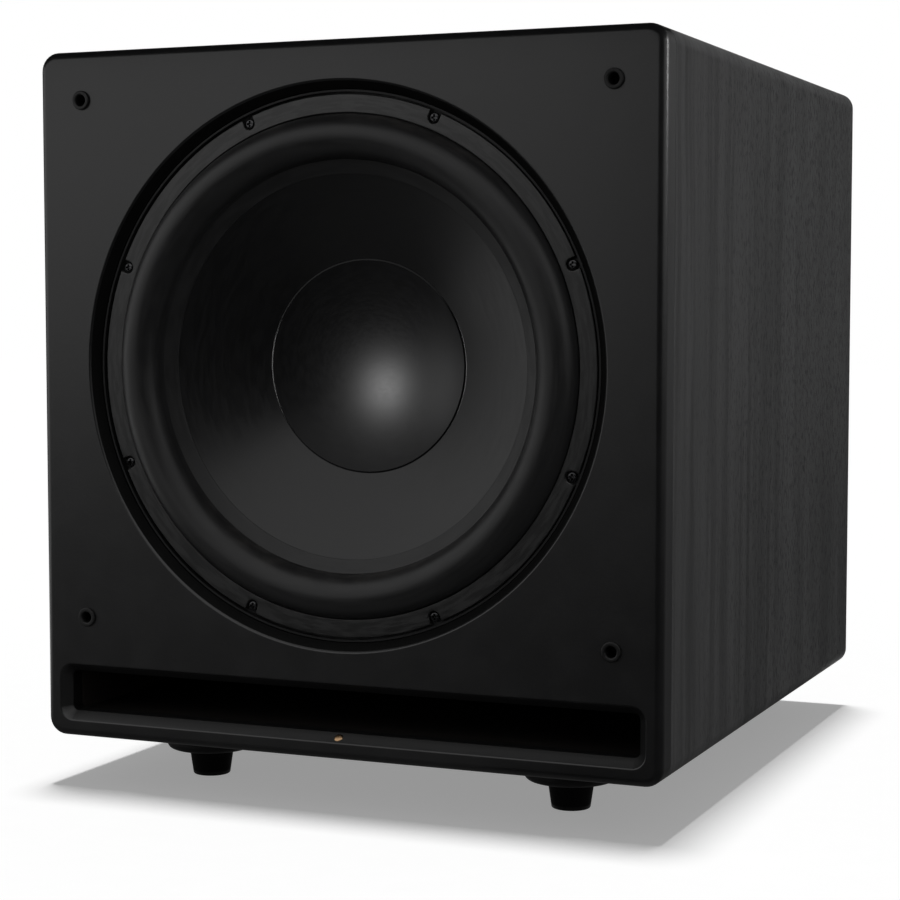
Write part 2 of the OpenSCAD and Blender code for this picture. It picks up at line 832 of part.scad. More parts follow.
module terminal_block() {
    depth2 = frame_depth - rear_wall;
    color("#202020") at_woofer() rotate([0, 0, terminal_deg]) {
        difference() {
            box([barrel_r - 2, -terminal_w / 2, terminal_depth],
                [barrel_r + terminal_d, terminal_w / 2, depth2]);
            translate([0, 0, terminal_depth - over])
                cylinder(r = barrel_r + fix_gap, h = depth2 - terminal_depth + 2 * over);
        }
        for (s = [-1, 1]) translate([barrel_r + terminal_d, s * tab_x - tab_w / 2, tab_depth])
            cube([tab_l, tab_w, tab_t]);
    }
}

// ---- Woofer: moving and flexing parts ----

// Offset outline of the surround: the roll's half ellipse, its outer land and its glued inner land.
module surround_outline() {
    mid = (roll_r1 + roll_r2) / 2;
    half = (roll_r2 - roll_r1) / 2;
    steps = 24;
    outer = [for (i = [0:steps]) let (a = 180 * i / steps)
        [mid + half * cos(a), seat_depth - roll_h * sin(a)]];
    inner = [for (i = [steps:-1:0]) let (a = 180 * i / steps)
        [mid + (half - roll_t) * cos(a), seat_depth - (roll_h - roll_t) * sin(a)]];
    polygon(concat(
        [[land_r, seat_depth], [land_r, land_depth], [roll_r2, land_depth]],
        [for (i = [1:steps]) outer[i]],
        [[roll_r1, rim_depth - inner_land_t], [knee_r, knee_depth - inner_land_t], [knee_r, knee_depth],
         [roll_r1, rim_depth], [inner[0].x, rim_depth]],
        inner
    ));
}

module surround() {
    color("#1a1a1a") at_woofer() rotate_extrude() surround_outline();
}

module cone() {
    neck_r = former_r + 0.1;
    color("#202021") at_woofer() rotate_extrude() polygon([
        [neck_r, neck_depth], [knee_r, knee_depth + fix_gap], [roll_r1, rim_depth + fix_gap],
        [roll_r1, rim_depth + fix_gap + cone_t], [knee_r, knee_depth + fix_gap + cone_t],
        [neck_r + 2, neck_depth + cone_t + 1], [neck_r + 2, neck_depth + 6], [neck_r, neck_depth + 6]
    ]);
}

// A dish that hollows inwards. Its back rests on the cone at the rim, or where the two slopes are the same.
module dust_cap() {
    steps = 20;
    function arc(r, a) = [r * sin(a), dish_middle + r * cos(a)];
    color("#242425") at_woofer() rotate_extrude() polygon(concat(
        [for (i = [0:steps]) arc(dish_back_r, dish_edge_deg * i / steps)],
        [for (i = [steps:-1:0]) arc(dish_r, dish_edge_deg * i / steps)]
    ));
}

module spider() {
    r1 = former_r + 0.1;
    r2 = spider_r - spider_land;
    steps = spider_waves * 8;
    function fade(i) = min(1, i / 4, (steps - i) / 4);
    function wave(i) = spider_depth - spider_wave * sin(360 * spider_waves * i / steps) * fade(i);
    front = [for (i = [0:steps]) [r1 + 2 + (r2 - r1 - 2) * i / steps, wave(i)]];
    color("#b08a3c") at_woofer() rotate_extrude() polygon(concat(
        [[r1, spider_depth]], front, [[spider_r, spider_depth], [spider_r, spider_depth + spider_t]],
        [for (i = [steps:-1:0]) front[i] + [0, spider_t]], [[r1, spider_depth + spider_t]]
    ));
}

module coil_former() {
    color("#8c8f92") at_woofer() translate([0, 0, former_front]) difference() {
        cylinder(r = former_r, h = gap_mid + winding_h / 2 + 1 - former_front);
        translate([0, 0, -over]) cylinder(r = former_r - former_t, h = motor_back);
    }
}

module coil_winding() {
    color("#b5672f") at_woofer() translate([0, 0, gap_mid - winding_h / 2]) difference() {
        cylinder(r = former_r + winding_t, h = winding_h);
        translate([0, 0, -over]) cylinder(r = former_r, h = winding_h + 2 * over);
    }
}

// The braided leads from the cone's neck to the terminal block, as radius and depth in the terminal's plane.
module tinsel_leads() {
    start_r = former_r + 8;
    behind = cone_face(start_r) + cone_t + 2.2;
    rise_r = barrel_r + terminal_d - 2;
    route = [[start_r, behind], [start_r + 12, behind + 5], [start_r + 28, behind + 7],
             [barrel_r - 6, ledge_depth - 19], [barrel_r + 7, ledge_depth - 22],
             [rise_r - 4, ledge_depth - 16], [rise_r, ledge_depth - 6], [rise_r, terminal_depth - 1]];
    color("#b5672f") at_woofer() rotate([0, 0, terminal_deg]) for (s = [-1, 1])
        wire([for (p = route) [p[0], s * tab_x, p[1]]], lead_r);
}

module speaker_wires() {
    tip_r = barrel_r + terminal_d + tab_l + 0.4;
    tip_depth = tab_depth + tab_t / 2;
    color("#7d1f1c") for (s = [-1, 1]) wire(concat(
        [for (p = [[tip_r, tip_depth], [tip_r + 3, tip_depth], [tip_r + 7, tip_depth + 10],
                   [tip_r + 1, frame_depth + 22]])
            terminal_point(p[0], s * tab_x, p[1])],
        [[60 + 4 * s, brace_y - 20, woofer_z + 98], [60 + 3 * s, brace_y + 40, woofer_z + 96],
         [40 + 3 * s, brace_y + 90, amp_z + 24], [30 + 3 * s, back_inner_y - cover_d - 22, amp_z + 4],
         [30 + 3 * s, back_face_y - plate_t - cover_d - 0.5, amp_z]]
    ), 1.4);
}
// A point of the woofer frame at radius r and offset t in the terminal's plane, in the part's frame.
function terminal_point(r, t, depth) = [
    r * cos(terminal_deg) - t * sin(terminal_deg),
    front_y + depth,
    woofer_z - r * sin(terminal_deg) - t * cos(terminal_deg)
];

// ---- Amplifier ----

// Places children at each screw of the plate.
module each_amp_screw() {
    for (x = [-amp_screw_x, amp_screw_x], z = [-1, -1 / 3, 1 / 3, 1])
        translate([x, 0, z * amp_screw_z]) children();
    for (z = [-1, 1]) translate([0, 0, z * amp_screw_z]) children();
}

// Places children at each knob's axis.
module each_pot() {
    for (x = [gain_x, crossover_x, phase_x]) translate([x, 0, control_z]) children();
}

// Places children at each phono jack's axis.
module each_jack() {
    for (x = jack_x, z = jack_z) translate([x, 0, z]) children();
}

module amp_plate() {
    color("#1e1e20") at_amp() difference() {
        along_y(-plate_t, plate_t) rounded_rect(amp_w, amp_h, amp_corner);
        each_amp_screw() rod_y(amp_screw_r + run_gap, -plate_t - over, over);
        each_pot() rod_y(shaft_r + run_gap, -plate_t - over, over);
        each_jack() rod_y(jack_r + run_gap, -plate_t - over, over);
        translate([light_x, 0, control_z]) rod_y(light_r + run_gap, -plate_t - over, over);
        translate([inlet_x, 0, inlet_z]) along_y(-plate_t - over, plate_t + 2 * over)
            square([inlet_w + run_gap, inlet_h + run_gap], center = true);
        translate([rocker_x, 0, rocker_z]) along_y(-plate_t - over, plate_t + 2 * over)
            square([rocker_w + 4 + run_gap, rocker_h + 4 + run_gap], center = true);
        translate([mode_x, 0, control_z]) along_y(-plate_t - over, plate_t + 2 * over)
            square([mode_travel + slider_w + 2 * run_gap, slider_h + 2 * run_gap], center = true);
    }
}

module amp_gasket() {
    color("#303030") at_amp() difference() {
        along_y(-amp_seat, amp_gasket_t) difference() {
            rounded_rect(amp_w, amp_h, amp_corner);
            square([cut_w, cut_h], center = true);
        }
        each_amp_screw() rod_y(amp_screw_r + run_gap, -amp_seat - over, 0);
    }
}

module amp_screws() {
    color("#26262a") at_amp() each_amp_screw() rotate([-90, 0, 0])
        cross_screw(amp_head_r, amp_head_h, amp_screw_r, amp_screw_len);
}

module heatsink() {
    pitch = (sink_w - fin_t) / (fins - 1);
    color("#18181a") at_amp() {
        box([-sink_w / 2, 0, sink_z1], [sink_w / 2, sink_base, sink_z2]);
        for (k = [0:fins - 1]) translate([k * pitch - sink_w / 2, 0, sink_z1])
            cube([fin_t, sink_h, sink_tall]);
    }
}

module amp_cover() {
    outer = [cut_w - 4, cut_h - 4];
    color("#9da0a3") at_amp() difference() {
        along_y(-plate_t - cover_d, cover_d) square(outer, center = true);
        along_y(-plate_t - cover_d + cover_t, cover_d)
            square(outer - [2 * cover_t, 2 * cover_t], center = true);
        translate([toroid_x, 0, toroid_z]) rod_y(bolt_r + fix_gap, -plate_t - cover_d - over, -cover_d);
    }
}

module main_board() {
    color("#1f5a38") at_amp() difference() {
        box([main_x1, main_back, -standoff_z - 5], [main_x2, main_y, standoff_z + 5]);
        each_standoff() rod_y(stud_r + fix_gap, main_back - over, main_y + over);
    }
}

// Places children at each standoff's axis.
module each_standoff() {
    for (x = [-standoff_x, main_x2 - 8], z = [-standoff_z, standoff_z]) translate([x, 0, z]) children();
}

module board_standoffs() {
    color("#c9a24a") at_amp() each_standoff() {
        rod_y(standoff_r, main_y, -plate_t);
        rod_y(stud_r, main_back - nut_h, main_y);
        rod_y(standoff_r, main_back - nut_h, main_back);
    }
}

// The reservoir capacitors, the film capacitors, the output choke and the power resistors.
module board_parts() {
    color("#2c3350") at_amp() {
        for (x = [24, 60], z = [40, 76]) translate([main_x1 + x, 0, z - standoff_z])
            rod_y(reservoir_r, main_back - reservoir_h, main_back);
        for (x = [44, 20]) translate([main_x2 - x, 0, 42 - standoff_z])
            box([-filter_w / 2, main_back - filter_w, -filter_h / 2],
                [filter_w / 2, main_back, filter_h / 2]);
        translate([main_x2 - 36, 0, 0]) difference() {
            rod_y(choke_r, main_back - choke_r, main_back);
            rod_y(choke_bore_r, main_back - choke_r - over, main_back + over);
        }
        for (k = [0:2]) translate([main_x1 + choke_r, 0, standoff_z - 32 - k * resistor_pitch])
            box([0, main_back - resistor_t, 0], [resistor_w, main_back, resistor_h]);
    }
}

// Four power devices behind the plate, their legs bent back to the main board.
module power_transistors() {
    front = -plate_t - device_t;
    leg_y = -plate_t - 3;
    leg_z = device_z - device_h / 2;
    color("#202022") at_amp() for (k = [0:3]) translate([device_x1 + k * device_pitch, 0, 0]) {
        difference() {
            box([-device_w / 2, front, leg_z], [device_w / 2, -plate_t, leg_z + device_h]);
            translate([0, 0, device_z + 5]) rod_y(1.7, front - over, -plate_t + over);
        }
        for (x = [-leg_pitch, 0, leg_pitch]) {
            box([x - leg_w / 2, leg_y, leg_z - leg_l], [x + leg_w / 2, leg_y + leg_w, leg_z]);
            box([x - leg_w / 2, main_y, leg_z - leg_l - leg_w],
                [x + leg_w / 2, leg_y + leg_w, leg_z - leg_l]);
        }
    }
}

module input_board() {
    color("#1f5a38") at_amp() difference() {
        box([input_x - input_w / 2, input_y - board_t, input_low],
            [input_x + input_w / 2, input_y, input_high]);
        translate([inlet_x, 0, inlet_z]) along_y(input_y - 2 * board_t, 3 * board_t)
            square([inlet_w + 12, inlet_h + 12], center = true);
        translate([rocker_x, 0, rocker_z]) along_y(input_y - 2 * board_t, 3 * board_t)
            square([rocker_w + 16, rocker_h + 24], center = true);
    }
}

module transformer() {
    color("#c8892e") at_amp() translate([toroid_x, -plate_t - cover_d + cover_t, toroid_z])
        rotate([-90, 0, 0]) rotate_extrude() translate([toroid_r * 0.66, toroid_h / 2])
            rounded_rect(toroid_r * 0.68, toroid_h, 8);
}

module transformer_bolt() {
    rear = -plate_t - cover_d;
    front = rear + cover_t + toroid_h;
    color("#b9b9b4") at_amp() translate([toroid_x, 0, toroid_z]) {
        rod_y(bolt_r, rear, front);
        rod_y(washer_r, front, front + washer_t);
        rod_y(2 * bolt_r, rear - bolt_r, rear);
    }
}

module potentiometers() {
    color("#3b4148") at_amp() each_pot() difference() {
        along_y(input_y, input_gap) square(pot_w, center = true);
        rod_y(shaft_r + run_gap, input_y + 2 - 1, over);
    }
}

// A ribbed knob with a pointer groove, its shaft running through the plate into the potentiometer.
module knob(x) {
    ribs = 24;
    shaft_end = input_y + 2;
    color("#131313") at_amp() translate([x, 0, control_z]) {
        difference() {
            rod_y(knob_r, run_gap, run_gap + knob_h);
            for (k = [0:ribs - 1]) rotate([0, 360 * k / ribs, 0]) translate([knob_r + 0.5, 0, 0])
                rod_y(0.9, run_gap + 3, run_gap + knob_h + over);
            box([-0.6, run_gap + knob_h - 0.8, knob_r * 0.3], [0.6, run_gap + knob_h + over, knob_r + over]);
        }
        rod_y(shaft_r, shaft_end, run_gap + over);
    }
}
module gain_knob() { knob(gain_x); }
module crossover_knob() { knob(crossover_x); }
module phase_knob() { knob(phase_x); }

module phono_jacks() {
    color("#c9a24a") at_amp() each_jack() difference() {
        union() {
            rod_y(jack_r - 0.3, -plate_t - 1, 1);
            rod_y(jack_r, 1, jack_len);
            along_y(input_y, input_gap) square(jack_body, center = true);
        }
        rod_y(1.6, -6, jack_len + over);
        difference() {
            rod_y(3.4, 2, jack_len + over);
            rod_y(2.6, 1, jack_len + 2 * over);
        }
    }
}

module power_inlet() {
    color("#161616") at_amp() translate([inlet_x, 0, inlet_z]) difference() {
        union() {
            along_y(-inlet_d, inlet_d) square([inlet_w, inlet_h], center = true);
            along_y(0, inlet_flange) rounded_rect(inlet_w + 10, inlet_h + 6, 3);
        }
        along_y(inlet_flange - socket_d, socket_d + over)
            translate([0, socket_z]) rounded_rect(socket_w, socket_h, 2);
        along_y(inlet_flange - drawer_d, drawer_d + over) translate([0, drawer_z])
            square([drawer_w + 2 * run_gap, drawer_h + 2 * run_gap], center = true);
        each_pin() box([-pin_w / 2, -inlet_d - over, -pin_h / 2], [pin_w / 2, inlet_flange, pin_h / 2]);
        for (s = [-1, 1]) translate([s * (inlet_w / 2 + 2.6), 0, 0]) rod_y(1.6, -over, inlet_flange + over);
    }
}

// Places children at each contact pin: two live pins and the raised earth pin.
module each_pin() {
    for (p = [[-7, -2], [7, -2], [0, 2]]) translate([p[0], 0, socket_z + p[1]]) children();
}

module inlet_pins() {
    color("#c6c8ca") at_amp() translate([inlet_x, 0, inlet_z]) each_pin()
        box([-pin_w / 2, -inlet_d - pin_tail, -pin_h / 2],
            [pin_w / 2, inlet_flange - pin_recess, pin_h / 2]);
}

module fuse_drawer() {
    inner_x = drawer_w / 2 - drawer_wall;
    color("#1b1b1b") at_amp() translate([inlet_x, 0, inlet_z + drawer_z]) difference() {
        along_y(inlet_flange - drawer_d + run_gap, drawer_d - run_gap)
            square([drawer_w, drawer_h], center = true);
        box([-inner_x, inlet_flange - drawer_d, drawer_wall - drawer_h / 2],
            [inner_x, inlet_flange - drawer_front, drawer_h / 2 + over]);
        box([-4, inlet_flange - 1.2, -drawer_h / 2 - over], [4, inlet_flange + over, 0.6 - drawer_h / 2]);
    }
}

module fuse() {
    color("#d8d8d2") at_amp() translate([inlet_x, 0, inlet_z + drawer_z])
        translate([drawer_wall + fix_gap - drawer_w / 2, -6, fuse_r + drawer_wall + fix_gap - drawer_h / 2])
            rotate([0, 90, 0]) cylinder(r = fuse_r, h = drawer_w - 2 * (drawer_wall + fix_gap));
}

module rocker_frame() {
    color("#161616") at_amp() translate([rocker_x, 0, rocker_z]) difference() {
        union() {
            along_y(-rocker_d, rocker_d) square([rocker_w + 4, rocker_h + 4], center = true);
            along_y(0, rocker_flange) rounded_rect(rocker_w + 8, rocker_h + 8, 1.5);
        }
        along_y(2 - rocker_d, rocker_d + over)
            square([rocker_w + 2 * run_gap, rocker_h + 2 * run_gap + 1], center = true);
        translate([0, rocker_axis, 0]) rotate([0, 90, 0])
            cylinder(r = rocker_pin_r + fix_gap, h = rocker_w + 3, center = true);
    }
}

// The rocker rests tipped to one side; its two faces meet in a shallow V at the pivot.
module power_rocker() {
    half = rocker_h / 2 - 1.4;
    color("#1a1a1a") at_amp() translate([rocker_x, rocker_axis, rocker_z]) rotate([rocker_deg, 0, 0]) {
        rotate([90, 0, 90]) translate([0, 0, -rocker_w / 2]) linear_extrude(rocker_w)
            polygon([[-3, -half], [5.4, -half], [3.2, 0], [5.4, half], [-3, half], [-6, 4], [-6, -4]]);
        rotate([0, 90, 0]) cylinder(r = rocker_pin_r, h = rocker_w + 2.6, center = true);
    }
}

module mode_switch_body() {
    color("#8f9296") at_amp() translate([mode_x, 0, control_z]) difference() {
        along_y(input_y, input_gap) square([mode_travel + slider_w + 6, slider_h + 4], center = true);
        along_y(-plate_t - slider_bite, slider_bite + over)
            square([mode_travel + slider_w + 2 * run_gap, slider_h + 2 * run_gap], center = true);
    }
}

module mode_slider() {
    color("#1a1a1a") at_amp() translate([mode_x - mode_travel / 2, 0, control_z])
        along_y(-plate_t - slider_bite + run_gap, plate_t + slider_bite - run_gap + slider_proud)
            square([slider_w, slider_h], center = true);
}

module status_light() {
    color("#c2e8c8") at_amp() translate([light_x, 0, control_z]) {
        rod_y(light_r, input_y, light_proud);
        rod_y(light_r + 1, input_y, -plate_t);
    }
}

module supply_wires() {
    color("#2b2b2b") at_amp() {
        for (s = [-1, 1]) wire([[inlet_x + 7 * s, -inlet_d - 7.9, inlet_z + socket_z - 2],
            [inlet_x + 7 * s, -inlet_d - 13, inlet_z + socket_z + s],
            [inlet_x - 12, -inlet_d - 16, inlet_z + 2 + 4 * s],
            [inlet_x - 30, -inlet_d - 9, rocker_z + 3 + 4 * s],
            [rocker_x + 4 * s, -rocker_d - 8, rocker_z + 1],
            [rocker_x + 4 * s, -rocker_d - 1, rocker_z]], 1);
        for (s = [-1, 1]) wire([[toroid_x - toroid_r - 1.4, -68 + 4 * s, toroid_z - 8],
            [toroid_x - toroid_r - 8, -68 + 4 * s, toroid_z - 12], [main_x2 - 6, -62 + 4 * s, toroid_z - 10],
            [main_x2 - 12 + 4 * s, main_back - 5, toroid_z - 6],
            [main_x2 - 12 + 4 * s, main_back - 1, toroid_z - 6]], 1);
    }
}

top_panel();
bottom_panel();
left_panel();
right_panel();
back_panel();
front_baffle();
inner_baffle();
port_shelf();
port_riser();
window_brace();
acoustic_lining();
foot_bases();
foot_pads();
foot_screws();
grille_sockets();
badge_dot();
woofer_gasket();
basket();
trim_ring();
woofer_screws();
surround();
cone();
dust_cap();
spider();
coil_former();
coil_winding();
top_plate();
magnet_rings();
back_plate();
magnet_boot();
terminal_block();
tinsel_leads();
speaker_wires();
amp_plate();
amp_gasket();
amp_screws();
heatsink();
amp_cover();
main_board();
board_standoffs();
board_parts();
power_transistors();
input_board();
transformer();
transformer_bolt();
potentiometers();
gain_knob();
crossover_knob();
phase_knob();
phono_jacks();
power_inlet();
inlet_pins();
fuse_drawer();
fuse();
rocker_frame();
power_rocker();
mode_switch_body();
mode_slider();
status_light();
supply_wires();
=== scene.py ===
"""Looks of a ported subwoofer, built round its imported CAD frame.

Sizes are in millimetres in the part's own frame, where the front looks along -Y; meshes are made in metres.
"""

import logging  # noqa: E402
import math  # noqa: E402
from collections.abc import Callable, Sequence  # noqa: E402
from dataclasses import dataclass, field  # noqa: E402
from enum import Enum  # noqa: E402
from typing import Any  # noqa: E402

import bmesh  # noqa: E402
import bpy  # noqa: E402
from mathutils import Matrix, Vector  # noqa: E402
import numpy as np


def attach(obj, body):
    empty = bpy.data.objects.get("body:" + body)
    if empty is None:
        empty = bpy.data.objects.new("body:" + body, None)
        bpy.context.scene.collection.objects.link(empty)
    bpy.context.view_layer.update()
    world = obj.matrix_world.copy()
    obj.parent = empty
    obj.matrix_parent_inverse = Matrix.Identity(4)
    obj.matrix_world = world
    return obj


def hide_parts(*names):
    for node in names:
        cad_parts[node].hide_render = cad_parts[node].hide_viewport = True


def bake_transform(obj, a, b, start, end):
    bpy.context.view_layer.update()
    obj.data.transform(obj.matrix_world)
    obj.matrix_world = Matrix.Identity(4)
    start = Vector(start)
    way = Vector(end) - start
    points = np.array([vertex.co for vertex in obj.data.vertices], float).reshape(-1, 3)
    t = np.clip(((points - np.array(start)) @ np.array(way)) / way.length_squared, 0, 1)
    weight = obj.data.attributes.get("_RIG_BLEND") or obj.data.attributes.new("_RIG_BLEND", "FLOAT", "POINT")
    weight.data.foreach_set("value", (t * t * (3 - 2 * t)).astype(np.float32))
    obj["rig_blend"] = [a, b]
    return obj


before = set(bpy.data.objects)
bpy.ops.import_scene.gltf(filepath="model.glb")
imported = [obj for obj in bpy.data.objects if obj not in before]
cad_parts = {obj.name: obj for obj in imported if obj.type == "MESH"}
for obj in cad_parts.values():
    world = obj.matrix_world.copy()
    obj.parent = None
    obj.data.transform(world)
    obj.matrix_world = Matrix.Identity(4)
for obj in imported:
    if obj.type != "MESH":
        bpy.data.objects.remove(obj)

LOG = logging.getLogger("subwoofer")
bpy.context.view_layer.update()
MM = 0.001
CABINET, CONE = "cabinet", "cone_assembly"
WOOFER_CENTRE = (0.0, -280.05, 316.0)
QUARTERS = ((1, 1), (-1, 1), (-1, -1), (1, -1))
HALF_TURN, QUARTER_TURN = math.pi, math.pi / 2
CREASE = math.radians(34)
NEARLY_STRAIGHT = math.radians(85)

Point = tuple[float, float]
Xyz = tuple[float, float, float]
Ring = list[bmesh.types.BMVert]


# ---------------------------------------------------------------- outlines


def arc(centre: Point, radius: float, start: float, sweep: float, steps: int, rise: float = 0.0) -> list[Point]:
    """Points evenly along an arc, or along part of an oval.

    Args:
        centre: Its middle.
        radius: Its reach along the first axis.
        start: Angle of the first point, in radians.
        sweep: Angle from the first point to the last.
        steps: Segments between them.
        rise: Its reach along the second axis, if that isn't the radius.

    Returns:
        One point more than there are segments.
    """
    turns = [start + sweep * i / steps for i in range(steps + 1)]
    return [(centre[0] + radius * math.cos(t), centre[1] + (rise or radius) * math.sin(t)) for t in turns]


def circle(radius: float, count: int = 64, centre: Point = (0, 0)) -> list[Point]:
    """A round outline, counterclockwise."""
    return arc(centre, radius, 0, math.tau, count)[:-1]


def rounded_rect(width: float, height: float, radius: float, centre: Point = (0, 0), steps: int = 8) -> list[Point]:
    """A rectangle with true round corners, counterclockwise.

    Args:
        width: Size along the first axis.
        height: Size along the second axis.
        radius: Corner radius.
        centre: Middle of the rectangle.
        steps: Segments in each corner.

    Returns:
        The outline's points.
    """
    points = []
    for quarter, (sx, sy) in enumerate(QUARTERS):
        middle = (centre[0] + sx * (width / 2 - radius), centre[1] + sy * (height / 2 - radius))
        points += arc(middle, radius, QUARTER_TURN * quarter, QUARTER_TURN, steps)
    return points


def spun(points: Sequence[Any], angle: float, centre: Sequence[float] = (0, 0)) -> list[Point]:
    """The points turned about the origin, then moved to stand round a centre."""
    cosine, sine = math.cos(angle), math.sin(angle)
    return [(centre[0] + a * cosine - b * sine, centre[1] + a * sine + b * cosine) for a, b in points]


def grown(loop: Sequence[Point], by: float) -> list[Point]:
    """The outline moved outwards by a distance, or inwards if it is negative.

    Args:
        loop: A counterclockwise outline.
        by: Distance to move each side.

    Returns:
        As many points as the outline has.
    """
    if by == 0:
        return list(loop)
    moved = []
    for before, here, after in zip([loop[-1], *loop[:-1]], loop, [*loop[1:], loop[0]]):
        first = Vector((here[1] - before[1], before[0] - here[0])).normalized()
        second = Vector((after[1] - here[1], here[0] - after[0])).normalized()
        shift = (first + second) * (by / (1 + first.dot(second)))
        moved.append((here[0] + shift.x, here[1] + shift.y))
    return moved


def softened(line: Sequence[Point], radius: float, steps: int = 4, closed: bool = False) -> list[Point]:
    """The line with its corners rounded.

    Args:
        line: Corner points.
        radius: Radius at each corner, where the sides are long enough for it.
        steps: Segments in each rounded corner.
        closed: Whether the last point joins the first.

    Returns:
        The points of the rounded line.
    """
    points = [Vector(p) for p in line]
    out: list[Point] = []
    for i, here in enumerate(points):
        back, ahead = points[i - 1] - here, points[(i + 1) % len(points)] - here
        half = back.angle(ahead) / 2 if closed or 0 < i < len(points) - 1 else HALF_TURN
        if half > NEARLY_STRAIGHT:
            out.append(tuple(here))
            continue
        reach = min(radius / math.tan(half), 0.45 * back.length, 0.45 * ahead.length)
        size = reach * math.tan(half)
        middle = here + (back.normalized() + ahead.normalized()).normalized() * (size / math.sin(half))
        start, end = here + back.normalized() * reach - middle, here + ahead.normalized() * reach - middle
        sweep = start.angle_signed(end)
        for k in range(steps + 1):
            out += spun([start], -sweep * k / steps, middle)
    return out


# ---------------------------------------------------------------- meshes


@dataclass(frozen=True)
class Seat:
    """Where a piece's own axes lie: its origin, its two flat axes and its outward axis."""

    origin: Vector
    across: Vector
    upward: Vector
    outward: Vector

    def at(self, a: float, b: float, height: float) -> Vector:
        """The point, in metres, at two flat coordinates and a height in millimetres."""
        return (self.origin + self.across * a + self.upward * b + self.outward * height) * MM


class Facing(Enum):
    """The across, upward and outward axes of a seat that is square to the part."""

    FRONT = ((1, 0, 0), (0, 0, 1), (0, -1, 0))
    BACK = ((1, 0, 0), (0, 0, 1), (0, 1, 0))
    TOP = ((1, 0, 0), (0, 1, 0), (0, 0, 1))
    UNDER = ((1, 0, 0), (0, -1, 0), (0, 0, -1))
    SECTION = ((0, 1, 0), (0, 0, 1), (1, 0, 0))

    def seat(self, *origin: float) -> Seat:
        """A seat with these axes."""
        return Seat(Vector(origin), *(Vector(axis) for axis in self.value))

    def draft(self, *origin: float) -> "Draft":
        """An empty mesh on a seat with these axes."""
        return Draft(self.seat(*origin))


@dataclass(frozen=True)
class Opening:
    """A hole or pocket in a plate; its wall is (growth, height) pairs from the plate's face inwards."""

    loop: Sequence[Point]
    wall: Sequence[Point]
    through: bool = True


def bevelled(loop: Sequence[Point], bevel: float, top: float, bottom: float, through: bool = True) -> Opening:
    """An opening with straight walls and a bevelled mouth.

    Args:
        loop: Its outline.
        bevel: Size of the bevel.
        top: Height of its mouth.
        bottom: Height of its other end.
        through: Whether it goes through.

    Returns:
        The opening.
    """
    return Opening(loop, [(bevel, top), (0, top - bevel), (0, bottom)], through)


def eased(top: float, bottom: float, by: float = 0.6) -> list[Point]:
    """A plate's edge with its upper corner eased in two steps."""
    return [(-by, top), (-by * 0.3, top - by * 0.3), (0, top - by), (0, bottom)]


def slab(top: float, bottom: float, bevel: float) -> list[Point]:
    """A plate's edge with both corners bevelled."""
    return [(-bevel, top), (0, top - bevel), (0, bottom + bevel), (-bevel, bottom)]


@dataclass(frozen=True)
class CrossScrew:
    """Radius and height of a screw's head, and radius and length of its shank."""

    head: float
    height: float
    shank: float
    length: float


def placed(name: str, data: Any) -> bpy.types.Object:
    """Puts a mesh, lamp or camera in the scene as an object.

    Args:
        name: Name of the object.
        data: The mesh, lamp or camera.

    Returns:
        The object.
    """
    obj = bpy.data.objects.new(name, data)
    bpy.context.scene.collection.objects.link(obj)
    return obj


def dressed(name: str, mesh: bmesh.types.BMesh, finish: "Finish") -> bpy.types.Object:
    """Turns a mesh in the making into an object with its finish, and reports it.

    Args:
        name: Name of the piece.
        mesh: Its mesh in the making, which is freed.
        finish: Its finish.

    Returns:
        The piece.
    """
    bmesh.ops.recalc_face_normals(mesh, faces=mesh.faces)
    data = bpy.data.meshes.new(name)
    mesh.to_mesh(data)
    mesh.free()
    data.materials.append(finish.material())
    LOG.info("piece %s: %d faces", name, len(data.polygons))
    return placed(name, data)


def fixed(obj: bpy.types.Object, body: str, slot: str, *nodes: str) -> None:
    """Fixes a piece to its body.

    Args:
        obj: The piece.
        body: CAD body that it rides on, or nothing if it bends between two.
        slot: Not used.
        nodes: CAD nodes that it stands for.
    """
    if body:
        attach(obj, body)
    if nodes:
        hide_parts(*nodes)


